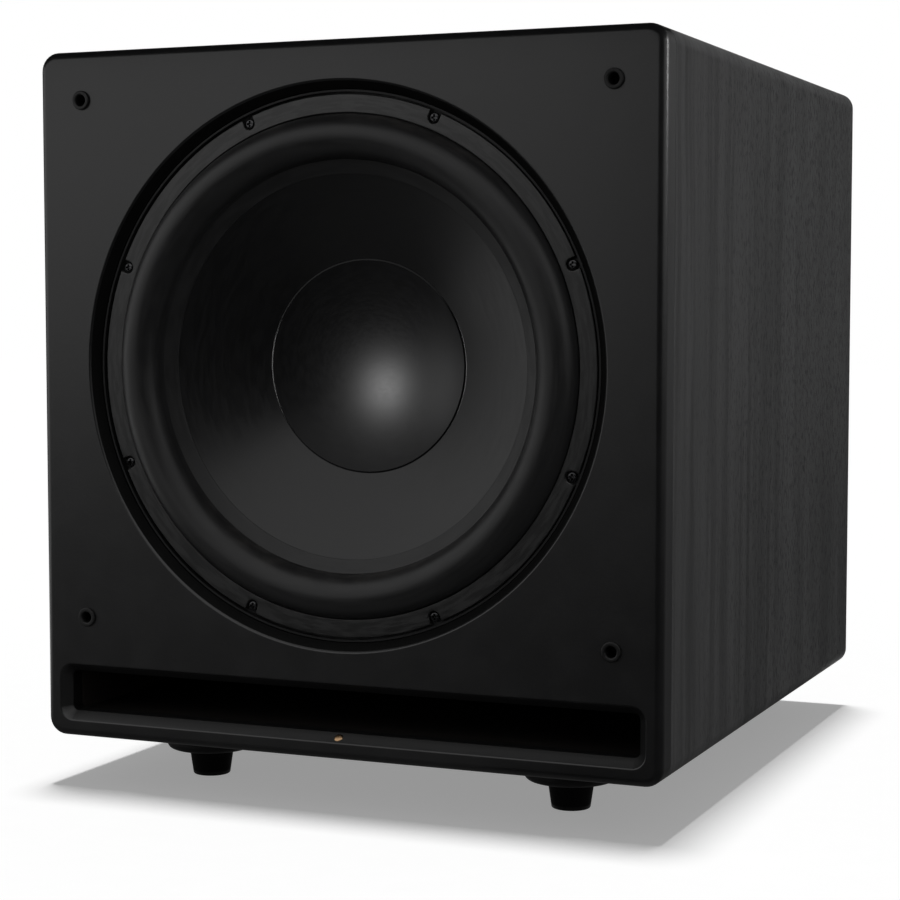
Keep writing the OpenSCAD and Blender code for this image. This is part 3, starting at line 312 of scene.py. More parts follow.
class Draft:
    """A closed mesh in the making, drawn ring by ring on a seat."""

    def __init__(self, seat: Seat) -> None:
        """Starts an empty mesh on the seat."""
        self.seat = seat
        self.mesh = bmesh.new()

    def ring(self, loop: Sequence[Point], height: float) -> Ring:
        """Adds the outline's points at one height."""
        return [self.mesh.verts.new(self.seat.at(a, b, height)) for a, b in loop]

    def wall(self, rings: Sequence[Ring], closed: bool = False) -> None:
        """Joins each ring to the next with quads.

        Args:
            rings: Rings of equal length.
            closed: Whether the last ring joins the first.
        """
        followers = [*rings[1:], rings[0]] if closed else rings[1:]
        for low, high in zip(rings, followers):
            for i, vert in enumerate(low):
                j = (i + 1) % len(low)
                self.mesh.faces.new((vert, low[j], high[j], high[i]))

    def sweep(self, loop: Sequence[Point], wall: Sequence[Point]) -> list[Ring]:
        """Draws the wall of an outline.

        Args:
            loop: The outline.
            wall: (growth, height) pairs from one end of the wall to the other.

        Returns:
            The wall's rings.
        """
        rings = [self.ring(grown(loop, growth), height) for growth, height in wall]
        self.wall(rings)
        return rings

    def cap(self, *loops: Ring) -> None:
        """Fills the flat area inside the first ring and outside the others.

        Args:
            loops: The outer ring, and then those of its openings.
        """
        edges = []
        for ring in loops:
            for i, vert in enumerate(ring):
                pair = (vert, ring[(i + 1) % len(ring)])
                edges.append(self.mesh.edges.get(pair) or self.mesh.edges.new(pair))
        bmesh.ops.triangle_fill(self.mesh, use_beauty=True, edges=edges)

    def plate(
        self,
        outer: Sequence[Point],
        edge: Sequence[Point],
        openings: Sequence[Opening] = (),
        trunk: Sequence[Point] = (),
        depth: float = 0.0,
    ) -> None:
        """Adds a flat piece with shaped edges and openings.

        Args:
            outer: Its outline.
            edge: (growth, height) pairs from its face to its back.
            openings: Holes and pockets, each starting at the face's height.
            trunk: Outline of a body that stands out behind it from height 0.
            depth: Depth of that body.
        """
        rim = self.sweep(outer, edge)
        face, rear = [rim[0]], [rim[-1]]
        if trunk:
            stem = self.sweep(trunk, [(0, 0), (0, -depth)])
            rear.append(stem[0])
            self.cap(stem[-1])
        for opening in openings:
            rings = self.sweep(opening.loop, opening.wall)
            face.append(rings[0])
            if opening.through:
                rear.append(rings[-1])
            else:
                self.cap(rings[-1])
        self.cap(*face)
        self.cap(*rear)

    def lathe(self, profile: Sequence[Point], count: int = 96, centre: Point = (0, 0)) -> None:
        """Turns a profile of (radius, height) pairs round the outward axis.

        A profile that starts and ends on the axis makes a solid, and any other is closed on itself as a ring.

        Args:
            profile: The section's points in order.
            count: Segments round the axis.
            centre: Where the axis stands on the seat.
        """
        solid = profile[0][0] == 0 and profile[-1][0] == 0
        inner = profile[1:-1] if solid else profile
        rings = [self.ring(circle(radius, count, centre), height) for radius, height in inner]
        self.wall(rings, closed=not solid)
        if solid:
            for ring, height in ((rings[0], profile[0][1]), (rings[-1], profile[-1][1])):
                tip = self.mesh.verts.new(self.seat.at(*centre, height))
                for i, vert in enumerate(ring):
                    self.mesh.faces.new((vert, ring[(i + 1) % count], tip))

    def cross_screw(self, centre: Point, screw: CrossScrew) -> None:
        """Adds a round-headed screw with a cross recess, standing on height 0.

        Args:
            centre: Its axis on the seat.
            screw: Its sizes.
        """
        head, height = screw.head, screw.height
        reach, width = head * 0.62, head * 0.19
        arm = ((reach, width), (width, width), (width, reach))
        cross = [point for turn in range(4) for point in spun(arm, QUARTER_TURN * turn, centre)]
        cross = softened(cross, head * 0.05, 2, closed=True)
        dome = [(-head * 0.3, height), (-head * 0.14, height * 0.93), (-head * 0.04, height * 0.76), (0, height * 0.5)]
        recess = Opening(cross, [(0.12, height), (0.02, height - 0.12), (-0.22, height * 0.12)], through=False)
        neck = screw.shank - head
        foot = [(0, 0.1), (-0.1, 0), (neck, 0), (neck, -screw.length)]
        self.plate(circle(head, 32, centre), [*dome, *foot], [recess])

    def bare(self, name: str, finish: "Finish") -> bpy.types.Object:
        """Makes the object with its finish, on no body yet.

        Args:
            name: Name of the piece.
            finish: Its finish.

        Returns:
            The piece.
        """
        for face in self.mesh.faces:
            face.smooth = True
        obj = dressed(name, self.mesh, finish)
        obj.data.set_sharp_from_angle(angle=CREASE)
        obj.modifiers.new("even_shading", "WEIGHTED_NORMAL").keep_sharp = True
        return obj

    def finish(self, name: str, finish: "Finish", slot: str, *nodes: str, body: str = CABINET) -> None:
        """Makes the object, dresses it and fixes it to its body.

        Args:
            name: Name of the piece.
            finish: Its finish.
            slot: Passed on to fixed, which does not use it.
            nodes: CAD nodes that it stands for.
            body: CAD body that it rides on.
        """
        fixed(self.bare(name, finish), body, slot, *nodes)


# ---------------------------------------------------------------- shared shader effects


class Graph:
    """Short calls for adding and joining the nodes of one tree."""

    def __init__(self, tree: bpy.types.NodeTree) -> None:
        """Works on a node tree."""
        self.tree = tree

    def put(self, value: Any, socket: bpy.types.NodeSocket) -> None:
        """Sets a constant on an input socket, or joins a source socket to it.

        Args:
            value: The constant or the source socket.
            socket: The input socket.
        """
        if isinstance(value, bpy.types.NodeSocket):
            self.tree.links.new(value, socket)
        else:
            socket.default_value = value

    def add(self, kind: str, inputs: dict[Any, Any] | None = None, **settings: Any) -> bpy.types.Node:
        """Adds a node.

        Args:
            kind: Type of the node, without its ShaderNode prefix.
            inputs: Value or source socket of each named or numbered input.
            settings: Properties of the node.

        Returns:
            The node.
        """
        node = self.tree.nodes.new(f"ShaderNode{kind}")
        for key, value in settings.items():
            setattr(node, key, value)
        for key, value in (inputs or {}).items():
            self.put(value, node.inputs[key])
        return node

    def maths(self, operation: str, first: Any, second: Any = 0.0, clamp: bool = False) -> bpy.types.NodeSocket:
        """The result of one maths step on two values or sockets."""
        return self.add("Math", {0: first, 1: second}, operation=operation, use_clamp=clamp).outputs[0]

    def times(self, first: Any, second: Any) -> bpy.types.NodeSocket:
        """The product of two values or sockets."""
        return self.maths("MULTIPLY", first, second)

    def plus(self, first: Any, second: Any) -> bpy.types.NodeSocket:
        """The sum of two values or sockets."""
        return self.maths("ADD", first, second)

    def noise(self, vector: Any, scale: Any, detail: float = 2.0, rough: float = 0.5) -> bpy.types.NodeSocket:
        """A noise value on a vector."""
        inputs = {"Vector": vector, "Scale": scale, "Detail": detail, "Roughness": rough}
        return self.add("TexNoise", inputs).outputs[0]

    def split(self, vector: Any) -> Any:
        """The three parts of a vector."""
        return self.add("SeparateXYZ", {0: vector}).outputs

    def joined(self, x: Any, y: Any, z: Any = 0.0) -> bpy.types.NodeSocket:
        """A vector of three parts."""
        return self.add("CombineXYZ", {0: x, 1: y, 2: z}).outputs[0]

    def scaled(self, vector: Any, factors: Sequence[float]) -> bpy.types.NodeSocket:
        """A vector multiplied by a factor on each axis."""
        return self.add("VectorMath", {0: vector, 1: factors}, operation="MULTIPLY").outputs[0]

    def stepped(self, value: Any, low: float, high: float, to_low: float = 0.0, to_high: float = 1.0) -> Any:
        """The value mapped smoothly from one span to another."""
        inputs = {"Value": value, 1: low, 2: high, 3: to_low, 4: to_high}
        return self.add("MapRange", inputs, interpolation_type="SMOOTHSTEP").outputs[0]

    def blended(self, factor: Any, first: Any, second: Any) -> bpy.types.NodeSocket:
        """Two colours mixed by a factor that changes over the surface."""
        return self.add("Mix", {0: factor, 6: first, 7: second}, data_type="RGBA").outputs[2]

    def to_eye(self) -> bpy.types.NodeSocket:
        """1 for rays that bring the background to the eye, straight, mirrored or through glass.

        Returns:
            The socket of that mask.
        """
        rays = self.add("LightPath").outputs
        seen = self.maths("MAXIMUM", rays["Is Camera Ray"], rays["Is Glossy Ray"])
        return self.maths("MAXIMUM", seen, rays["Is Transmission Ray"])


class Effect(Enum):
    """The shader effects that finishes share, each one node group."""

    MOTTLE = "mottle"
    GRAIN = "fine_grain"
    STREAK = "long_streaks"
    RING = "turned_rings"
    WEAVE = "plain_weave"
    DUST = "settled_dust"

    def tree(self) -> bpy.types.NodeTree:
        """The effect's node group, built on first use."""
        return bpy.data.node_groups.get(self.value) or self.build()

    def build(self) -> bpy.types.NodeTree:
        """Builds the node group: a vector and its values in, masks and heights out.

        Returns:
            The node group.
        """
        draw, values, results = EFFECTS[self]
        tree = bpy.data.node_groups.new(self.value, "ShaderNodeTree")
        tree.interface.new_socket("Vector", in_out="INPUT", socket_type="NodeSocketVector")
        for label, default in values.items():
            socket = tree.interface.new_socket(label, in_out="INPUT", socket_type="NodeSocketFloat")
            socket.default_value = default
        for label in results:
            tree.interface.new_socket(label, in_out="OUTPUT", socket_type="NodeSocketFloat")
        start, end = tree.nodes.new("NodeGroupInput"), tree.nodes.new("NodeGroupOutput")
        for label, value in zip(results, draw(Graph(tree), start.outputs)):
            tree.links.new(value, end.inputs[label])
        return tree


def draw_mottle(graph: Graph, source: Any) -> tuple[Any, ...]:
    """Cloudy variation: a soft large mask with a finer one in it.

    Args:
        graph: The group's tree.
        source: Its inputs.

    Returns:
        The mask.
    """
    broad = graph.noise(source["Vector"], source["Scale"], 3, 0.55)
    fine = graph.noise(source["Vector"], graph.times(source["Scale"], 9.0))
    mixed = graph.plus(graph.times(broad, 0.75), graph.times(fine, 0.25))
    return (graph.stepped(mixed, 0.36, 0.64),)


def draw_grain(graph: Graph, source: Any) -> tuple[Any, ...]:
    """Fine moulded or sprayed texture: rounded pits over a soft orange peel.

    Args:
        graph: The group's tree.
        source: Its inputs.

    Returns:
        The height.
    """
    cells = graph.add("TexVoronoi", {"Vector": source["Vector"], "Scale": source["Scale"]}, feature="SMOOTH_F1")
    peel = graph.noise(source["Vector"], graph.times(source["Scale"], 0.35))
    return (graph.plus(peel, graph.times(cells.outputs["Distance"], source["Pits"])),)


def draw_streak(graph: Graph, source: Any) -> tuple[Any, ...]:
    """Wood-like pores and broader figure drawn out along the vector's second axis.

    Args:
        graph: The group's tree.
        source: Its inputs.

    Returns:
        The masks of pores and figure, and the height.
    """
    x, y, z = graph.split(source["Vector"])
    wander = graph.times(graph.noise(source["Vector"], 7.0, 1), 0.012)
    across = graph.times(graph.plus(x, wander), source["Across"])
    fine = graph.joined(across, graph.times(y, source["Along"]), z)
    wide = graph.noise(graph.scaled(fine, (0.06, 0.01, 1)), 1.0, 3, 0.65)
    lines = graph.noise(graph.scaled(fine, (0.6, 0.02, 1)), 1.0, 2, 0.6)
    leather = graph.noise(graph.scaled(fine, (1.6, 2.2, 1)), 1.0, 2, 0.6)
    pores = graph.stepped(graph.noise(fine, 1.0, 3, 0.6), 0.5, 0.64)
    figure = graph.stepped(graph.plus(graph.times(wide, 0.6), graph.times(lines, 0.4)), 0.4, 0.6)
    return pores, figure, graph.maths("SUBTRACT", graph.times(leather, 0.4), pores)


def draw_ring(graph: Graph, source: Any) -> tuple[Any, ...]:
    """Marks that run round the vector's second axis, as on a turned or moulded ring.

    Args:
        graph: The group's tree.
        source: Its inputs.

    Returns:
        The mask of the marks, and finer ones along them.
    """
    x, y, z = graph.split(source["Vector"])
    radius = graph.maths("SQRT", graph.plus(graph.maths("POWER", x, 2.0), graph.maths("POWER", z, 2.0)))
    turned = [graph.times(graph.maths("DIVIDE", part, radius), source["Round"]) for part in (x, z)]
    drawn = graph.joined(*turned, graph.times(graph.plus(radius, y), source["Tight"]))
    mask = graph.stepped(graph.noise(drawn, 1.0, 3, 0.6), 0.35, 0.65)
    return mask, graph.noise(graph.scaled(drawn, (4, 4, 5)), 1.0)


def draw_weave(graph: Graph, source: Any) -> tuple[Any, ...]:
    """Crossing threads on the vector's first two axes.

    Args:
        graph: The group's tree.
        source: Its inputs.

    Returns:
        The height of the threads, and the mask of the gaps.
    """
    waves = []
    for part in graph.split(source["Vector"])[:2]:
        turn = graph.times(graph.times(part, source["Threads"]), math.pi)
        waves.append(graph.maths("ABSOLUTE", graph.maths("SINE", turn)))
    height = graph.times(*waves)
    return height, graph.stepped(height, 0.35, 0.05)


def draw_dust(graph: Graph, source: Any) -> tuple[Any, ...]:
    """A thin patchy film on the faces that look up.

    Args:
        graph: The group's tree.
        source: Its inputs.

    Returns:
        The mask.
    """
    upward = graph.split(graph.add("NewGeometry").outputs["Normal"])[2]
    patches = graph.stepped(graph.noise(source["Vector"], 60.0, 4, 0.7), 0.35, 0.75)
    film = graph.times(graph.stepped(upward, 0.5, 1.0), patches)
    return (graph.maths("MULTIPLY", film, source["Amount"], clamp=True),)


EFFECTS: dict[Effect, tuple[Callable[[Graph, Any], tuple[Any, ...]], dict[str, float], tuple[str, ...]]] = {
    Effect.MOTTLE: (draw_mottle, {"Scale": 20.0}, ("Mask",)),
    Effect.GRAIN: (draw_grain, {"Scale": 900.0, "Pits": 0.5}, ("Height",)),
    Effect.STREAK: (draw_streak, {"Across": 600.0, "Along": 24.0}, ("Pores", "Figure", "Height")),
    Effect.RING: (draw_ring, {"Tight": 400.0, "Round": 5.0}, ("Mask", "Fine")),
    Effect.WEAVE: (draw_weave, {"Threads": 1200.0}, ("Height", "Gap")),
    Effect.DUST: (draw_dust, {"Amount": 0.3}, ("Mask",)),
}


# ---------------------------------------------------------------- finishes


class Painter(Graph):
    """The node tree of one material, with its Principled shader and object coordinates."""

    def __init__(self, name: str) -> None:
        """Starts a material.

        Args:
            name: Name of the material.
        """
        self.made = bpy.data.materials.new(name)
        self.made.use_nodes = True
        super().__init__(self.made.node_tree)
        self.shader = next(n for n in self.tree.nodes if n.type == "BSDF_PRINCIPLED")
        self.place = self.add("TexCoord").outputs["Object"]

    def effect(self, effect: Effect, **inputs: Any) -> Any:
        """Places a shared effect and gives its outputs."""
        return self.add("Group", {"Vector": self.place, **inputs}, node_tree=effect.tree()).outputs

    def feed(self, values: dict[str, Any]) -> None:
        """Sets constants on the shader's own sockets, or joins values that change over the surface."""
        for name, value in values.items():
            self.put(value, self.shader.inputs[name])

    def bump(self, height: Any, depth: float) -> None:
        """Feeds a height, in metres at full scale, to the shader's normal."""
        self.feed({"Normal": self.add("Bump", {"Height": height, "Distance": depth}).outputs[0]})

    def within(self, value: Any, low: float, high: float) -> bpy.types.NodeSocket:
        """1 where a coordinate is between two places in millimetres."""
        above, below = self.maths("GREATER_THAN", value, low * MM), self.maths("LESS_THAN", value, high * MM)
        return self.times(above, below)

    def about(self, centre: Sequence[float]) -> bpy.types.NodeSocket:
        """Object coordinates counted from a centre in millimetres."""
        origin = [value * MM for value in centre]
        return self.add("VectorMath", {0: self.place, 1: origin}, operation="SUBTRACT").outputs[0]


def rgba(colour: Xyz, level: float = 1.0) -> tuple[float, float, float, float]:
    """A colour at a share of its brightness, with full alpha."""
    return (*(min(1.0, value * level) for value in colour), 1.0)


def grey(level: float, blue: float = 0.0) -> Xyz:
    """A grey, or a near grey with a blue of its own."""
    return (level, level, blue or level)


@dataclass(frozen=True)
class Finish:
    """A plain moulded, sprayed or cast finish with mottling, fine grain and a trace of dust."""

    name: str
    colour: Xyz
    rough: float = 0.5
    specular: float = 0.5
    metallic: float = 0.0
    spread: float = 0.12
    rough_spread: float = 0.06
    cloud: float = 22.0
    grain: float = 1100.0
    pits: float = 0.5
    depth: float = 0.00003
    dust: float = 0.15
    dust_colour: Xyz = (0.16, 0.15, 0.14)

    def material(self) -> bpy.types.Material:
        """The finish's material, built on first use."""
        return bpy.data.materials.get(self.name) or self.build()

    def build(self) -> bpy.types.Material:
        """Builds the material from its constants, colour, roughness and relief.

        Returns:
            The material.
        """
        paint = Painter(self.name)
        paint.feed({"Metallic": self.metallic, "Specular IOR Level": self.specular})
        self.surface(paint)
        return paint.made

    def surface(self, paint: Painter) -> None:
        """Colour, roughness and relief of the finish."""
        self.tint(paint, self.clouds(paint))
        paint.bump(self.grained(paint), self.depth)

    def clouds(self, paint: Painter) -> Any:
        """The mask of its mottling."""
        return paint.effect(Effect.MOTTLE, Scale=self.cloud)["Mask"]

    def grained(self, paint: Painter) -> Any:
        """The height of its fine grain."""
        return paint.effect(Effect.GRAIN, Scale=self.grain, Pits=self.pits)["Height"]

    def shaded(self, paint: Painter, mask: Any) -> Any:
        """Its colour, paler where a mask is."""
        return paint.blended(mask, rgba(self.colour, 1 - self.spread), rgba(self.colour, 1 + self.spread))

    def dulled(self, paint: Painter, mask: Any) -> Any:
        """Its roughness, higher where a mask is."""
        return paint.stepped(mask, 0, 1, self.rough - self.rough_spread, self.rough + self.rough_spread)

    def dusted(self, paint: Painter, colour: Any) -> Any:
        """A colour under its film of dust."""
        return paint.blended(paint.effect(Effect.DUST, Amount=self.dust)["Mask"], colour, rgba(self.dust_colour))

    def tint(self, paint: Painter, mask: Any) -> None:
        """Feeds colour and roughness that follow a mask, under the dust."""
        paint.feed({"Base Color": self.dusted(paint, self.shaded(paint, mask)), "Roughness": self.dulled(paint, mask)})


@dataclass(frozen=True)
class Metal(Finish):
    """A plated, drawn or cast metal with very fine grain."""

    metallic: float = 1.0
    grain: float = 2500.0
    depth: float = 0.00001


@dataclass(frozen=True)
class Wrap(Finish):
    """Black ash vinyl round the cabinet: pores run round the outside, and the board shows inside."""

    across: float = 430.0
    along: float = 150.0
    girth: float = 1.2
    front_y: float = -262.0
    rear_y: float = 60.0
    end_y: float = 268.5
    front_wear: float = 0.25
    pore_shade: float = 0.5
    # board is the near-black colour of the walls' inside faces.
    board: Xyz = (0.006, 0.005, 0.0045)
    inner_x: Point = (-223.4, 223.4)
    inner_z: Point = (55.6, 527.4)

    def surface(self, paint: Painter) -> None:
        """Pores and figure follow the girth of the cabinet.

        Args:
            paint: The material in the making.
        """
        x, y, z = paint.split(paint.place)
        reach = paint.maths("ABSOLUTE", x)
        drawn = paint.joined(y, paint.maths("SUBTRACT", z, reach), paint.times(x, self.girth))
        streak = paint.effect(Effect.STREAK, Vector=drawn, Across=self.across, Along=self.along)
        worn = paint.stepped(y, self.front_y * MM, self.rear_y * MM, self.front_wear, 1.0)
        worn = paint.times(worn, paint.maths("LESS_THAN", y, self.end_y * MM))
        pores = paint.times(streak["Pores"], worn)
        pored = paint.blended(pores, self.shaded(paint, streak["Figure"]), rgba(self.colour, self.pore_shade))
        inside = paint.times(paint.within(x, *self.inner_x), paint.within(z, *self.inner_z))
        colour = paint.blended(inside, self.dusted(paint, pored), rgba(self.board))
        paint.feed({"Base Color": colour, "Roughness": self.dulled(paint, pores)})
        paint.bump(paint.times(streak["Height"], worn), self.depth)


@dataclass(frozen=True)
class Board(Finish):
    """Raw or stained fibreboard: pressed fibres and darker flecks."""

    fleck: float = 700.0
    stretch: float = 0.15

    def surface(self, paint: Painter) -> None:
        """Short flat fibres over a cloudy ground.

        Args:
            paint: The material in the making.
        """
        clouds = self.clouds(paint)
        fibres = paint.effect(Effect.STREAK, Across=self.fleck, Along=self.fleck * self.stretch)
        self.tint(paint, paint.times(clouds, fibres["Figure"]))
        paint.bump(fibres["Height"], self.depth)


@dataclass(frozen=True)
class Baffle(Finish):
    """Satin paint on the baffle: darker as painted shade and duller inside its openings, and toned to the wrap where it
    meets the sides.
    """

    face_y: float = WOOFER_CENTRE[1]
    flat_x: Point = (-238.0, 238.0)
    flat_z: Point = (41.0, 542.0)
    # Depth behind the face, in mm, over which the openings' walls fade into painted shade; shade is the colour's share
    # there.
    mouth: Point = (0.6, 4.0)
    shade: float = 0.4
    mouth_dull: float = 0.12
    edge: Point = (2.8, 5.4)
    side: Xyz = grey(0.015, 0.0153)
    side_rough: float = 0.45

    def surface(self, paint: Painter) -> None:
        """Fine spray texture, with painted shade and duller paint in the openings' mouths, and the outer sides told
        apart by place.

        Args:
            paint: The material in the making.
        """
        mask = self.clouds(paint)
        x, y, z = paint.split(paint.place)
        behind = paint.maths("SUBTRACT", y, self.face_y * MM)
        flat = paint.times(paint.within(x, *self.flat_x), paint.within(z, *self.flat_z))
        edge, deep = (paint.stepped(behind, low * MM, high * MM) for low, high in (self.edge, self.mouth))
        outside = paint.times(edge, paint.maths("SUBTRACT", 1.0, flat))
        # inside marks the openings' walls behind the face, which get painted shade.
        inside = paint.times(deep, flat)
        colour = paint.blended(inside, self.shaded(paint, mask), rgba(self.colour, self.shade))
        rough = paint.plus(self.dulled(paint, mask), paint.times(inside, self.mouth_dull))
        rough = paint.plus(rough, paint.times(outside, self.side_rough - self.rough))
        paint.feed({"Base Color": paint.blended(outside, colour, rgba(self.side)), "Roughness": rough})
        paint.bump(self.grained(paint), self.depth)


@dataclass(frozen=True)
class Turned(Finish):
    """A ring, cone or turned piece with marks that run round the woofer's axis."""

    tight: float = 900.0
    winding: float = 6.0
    relief: float = 0.00002
    smears: float = 0.0

    def surface(self, paint: Painter) -> None:
        """Marks round the axis, mixed with fine grain.

        Args:
            paint: The material in the making.
        """
        rings = paint.effect(Effect.RING, Vector=paint.about(WOOFER_CENTRE), Tight=self.tight, Round=self.winding)
        self.tint(paint, rings["Mask"])
        if self.smears:
            smeared = paint.stepped(rings["Mask"], 0.3, 0.8, 0.0, self.smears)
            paint.feed({"Coat Roughness": self.rough, "Coat Weight": smeared})
        marks = paint.times(rings["Fine"], self.relief / self.depth)
        paint.bump(paint.plus(self.grained(paint), marks), self.depth)


@dataclass(frozen=True)
class Cloth(Finish):
    """Woven cloth, such as the spider's treated cotton."""

    threads: float = 900.0
    gap_painted_shade: float = 0.45

    def surface(self, paint: Painter) -> None:
        """Threads, with painted shade in the gaps between them.

        Args:
            paint: The material in the making.
        """
        x, _, z = paint.split(paint.place)
        weave = paint.effect(Effect.WEAVE, Vector=paint.joined(x, z), Threads=self.threads)
        mask = self.clouds(paint)
        # The gaps between threads are darkened as painted shade.
        colour = paint.blended(weave["Gap"], self.shaded(paint, mask), rgba(self.colour, self.gap_painted_shade))
        paint.feed({"Base Color": colour, "Roughness": self.dulled(paint, mask)})
        paint.bump(weave["Height"], self.depth)


@dataclass(frozen=True)
class Knob(Finish):
    """Knob plastic with a pale pointer line: the knobs' axes, the line's half width and its lower end."""

    centres: tuple[float, ...] = ()
    half_line: float = 0.5
    line_z: float = 0.0
    line: Xyz = grey(0.75, 0.73)

    def surface(self, paint: Painter) -> None:
        """A pointer line on top of each knob.

        Args:
            paint: The material in the making.
        """
        super().surface(paint)
        x, _, z = paint.split(paint.place)
        near: Any = 0.0
        for centre in self.centres:
            line = paint.within(x, centre - self.half_line, centre + self.half_line)
            near = paint.maths("MAXIMUM", near, line)
        mask = paint.times(near, paint.maths("GREATER_THAN", z, self.line_z * MM))
        ground = paint.shader.inputs["Base Color"].links[0].from_socket
        paint.feed({"Base Color": paint.blended(mask, ground, rgba(self.line))})


@dataclass(frozen=True)
class Clear(Finish):
    """Clear glass or a tinted lens."""

    index: float = 1.5
    clearness: float = 0.9

    def surface(self, paint: Painter) -> None:
        """Passes light, with faint flow marks.

        Args:
            paint: The material in the making.
        """
        mask = self.clouds(paint)
        paint.feed(
            {
                "Transmission Weight": self.clearness,
                "IOR": self.index,
                "Base Color": paint.blended(mask, rgba(self.colour, 0.96), rgba(self.colour)),
                "Roughness": paint.stepped(mask, 0, 1, self.rough, self.rough + self.rough_spread),
            }
        )
        paint.bump(self.grained(paint), self.depth)


# ---------------------------------------------------------------- cabinet


@dataclass
class Cabinet:
    """The wrapped box with its painted baffle, grille sockets and plain dot."""

    width: float = 482.0
    height: float = 507.0
    wall: float = 18.0
    corner: float = 13.5
    front_y: float = WOOFER_CENTRE[1]
    back_y: float = 269.95
    baffle: float = 20.0
    baffle_round: float = 6.0
    floor_z: float = 38.0
    woofer_z: float = WOOFER_CENTRE[2]
    recess_r: float = 201.0
    opening_r: float = 194.7
    recess_depth: float = 7.0
    slot_width: float = 446.0
    slot_height: float = 30.0
    slot_mid: float = 71.6
    slot_r: float = 4.0
    flare_width: float = 6.4
    flare_depth: float = 8.0
    lip_round: float = 1.4
    socket_x: float = 205.0
    socket_z: Point = (128.7, 509.2)
    socket_bore: float = 5.55
    socket_depth: float = 14.4
    ring_bore: float = 4.0
    ring_floor: float = -12.0
    ring_body: Point = (5.5, -14.0)
    ring_lip: Point = (7.0, 2.0)
    lining_skin: float = 0.4
    bevel: float = 0.25
    wrap: Finish = Wrap(
        "black_ash_vinyl",
        grey(0.036, 0.0365),
        rough=0.6,
        specular=0.32,
        rough_spread=0.05,
        spread=0.23,
        depth=0.00012,
    )
    paint: Finish = Baffle("satin_black_paint", grey(0.0045, 0.0047), rough=0.31, rough_spread=0.008, cloud=45.0)
    # A thin sheet in the woofer's recess: matt, and darker than the baffle's paint as painted shade.
    shade_lining: Finish = Finish("matt_recess_black", grey(0.0012), rough=0.6, specular=0.08, dust=0.0)
    socket_plastic: Finish = Finish("socket_black", grey(0.004), specular=0.3, dust=0.0, depth=0.00001)
    bronze: Finish = Metal("satin_bronze", (0.42, 0.27, 0.15), rough=0.32, grain=3000.0)

    @property
    def middle_z(self) -> float:
        """Height of the middle of the box."""
        return self.floor_z + self.height / 2

    def build(self) -> None:
        """Builds the four walls, the baffle, the sockets and the dot."""
        for quarter, node in enumerate(("right_panel", "top_panel", "left_panel", "bottom_panel")):
            self.wall_panel(quarter, node)
        self.front_baffle()
        self.painted_shade_lining()
        self.sockets()
        self.dot()

    def wall_panel(self, quarter: int, node: str) -> None:
        """Builds one mitred wall.

        Args:
            quarter: Which side: right, top, left or bottom.
            node: CAD node that it stands for.
        """
        half_x, half_z = self.width / 2, self.height / 2
        start, end = QUARTERS[quarter - 1], QUARTERS[quarter]
        inner = [(sx * (half_x - self.wall), sz * (half_z - self.wall)) for sx, sz in (start, end)]
        outer = []
        for (sx, sz), first in ((start, quarter - 0.5), (end, quarter)):
            middle = (sx * (half_x - self.corner), sz * (half_z - self.corner))
            outer += arc(middle, self.corner, QUARTER_TURN * first, QUARTER_TURN / 2, 8)
        draft = Facing.FRONT.draft(0, self.front_y + self.baffle, self.middle_z)
        length = self.back_y - self.front_y - self.baffle
        edge = [(-self.bevel, 0), (0, -self.bevel), (0, 0.4 - length), (-0.4, -length)]
        draft.plate([inner[0], *outer, inner[1]], edge)
        draft.finish(node.replace("panel", "wall"), self.wrap, "vinyl_wrap", node)

    def front_baffle(self) -> None:
        """Builds the painted baffle with its rounded edge, woofer opening, flared slot and socket holes."""
        edge = arc((-self.baffle_round, -self.baffle_round), self.baffle_round, QUARTER_TURN, -QUARTER_TURN, 10)
        slope, skin, deep = self.recess_r - self.opening_r, self.lining_skin, -self.recess_depth
        seat = [(slope - 1.1, -1.22), (slope - 0.8, -1.49), (skin, deep - 0.18), (skin, -self.baffle)]
        recess = [*softened([(slope + 3, 0), (slope, 0), seat[0]], self.lip_round, 6)[1:], *seat[1:]]
        mouth = [(self.flare_width + 2, 0), (self.flare_width, 0), (0, -self.flare_depth), (0, -self.baffle)]
        slot = rounded_rect(self.slot_width, self.slot_height, self.slot_r, (0, self.slot_mid - self.middle_z))
        openings = [
            Opening(circle(self.opening_r, 160, (0, self.woofer_z - self.middle_z)), recess),
            Opening(slot, softened(mouth, self.lip_round, 5)[1:]),
        ]
        for x, z in self.socket_places():
            hole = circle(self.socket_bore, 32, (x, z - self.middle_z))
            openings.append(Opening(hole, [(0, 0), (0, -self.socket_depth)], through=False))
        draft = Facing.FRONT.draft(0, self.front_y, self.middle_z)
        rear = [(0, self.bevel - self.baffle), (-self.bevel, -self.baffle)]
        draft.plate(rounded_rect(self.width, self.height, self.corner), [*edge, *rear], openings)
        draft.finish("painted_baffle", self.paint, "black_paint", "front_baffle")

    def painted_shade_lining(self) -> None:
        """Builds the thin matt lining of the woofer's recess, darker than the paint as painted shade."""
        outer, inner, end = self.recess_r - 1.12, self.opening_r, 0.2 - self.baffle
        shell = inner + self.lining_skin - 0.02
        section = [(outer, -1.24), (inner, -self.recess_depth), (inner, end), (shell, end)]
        draft = Facing.FRONT.draft(0, self.front_y, self.woofer_z)
        draft.lathe([*section, (shell, -self.recess_depth - 0.2), (outer + 0.28, -1.51)], 192)
        draft.finish("matt_recess_lining", self.shade_lining, "black_paint")

    def socket_places(self) -> list[Point]:
        """Each grille socket's place across and up."""
        return [(side * self.socket_x, z) for side in (-1, 1) for z in self.socket_z]

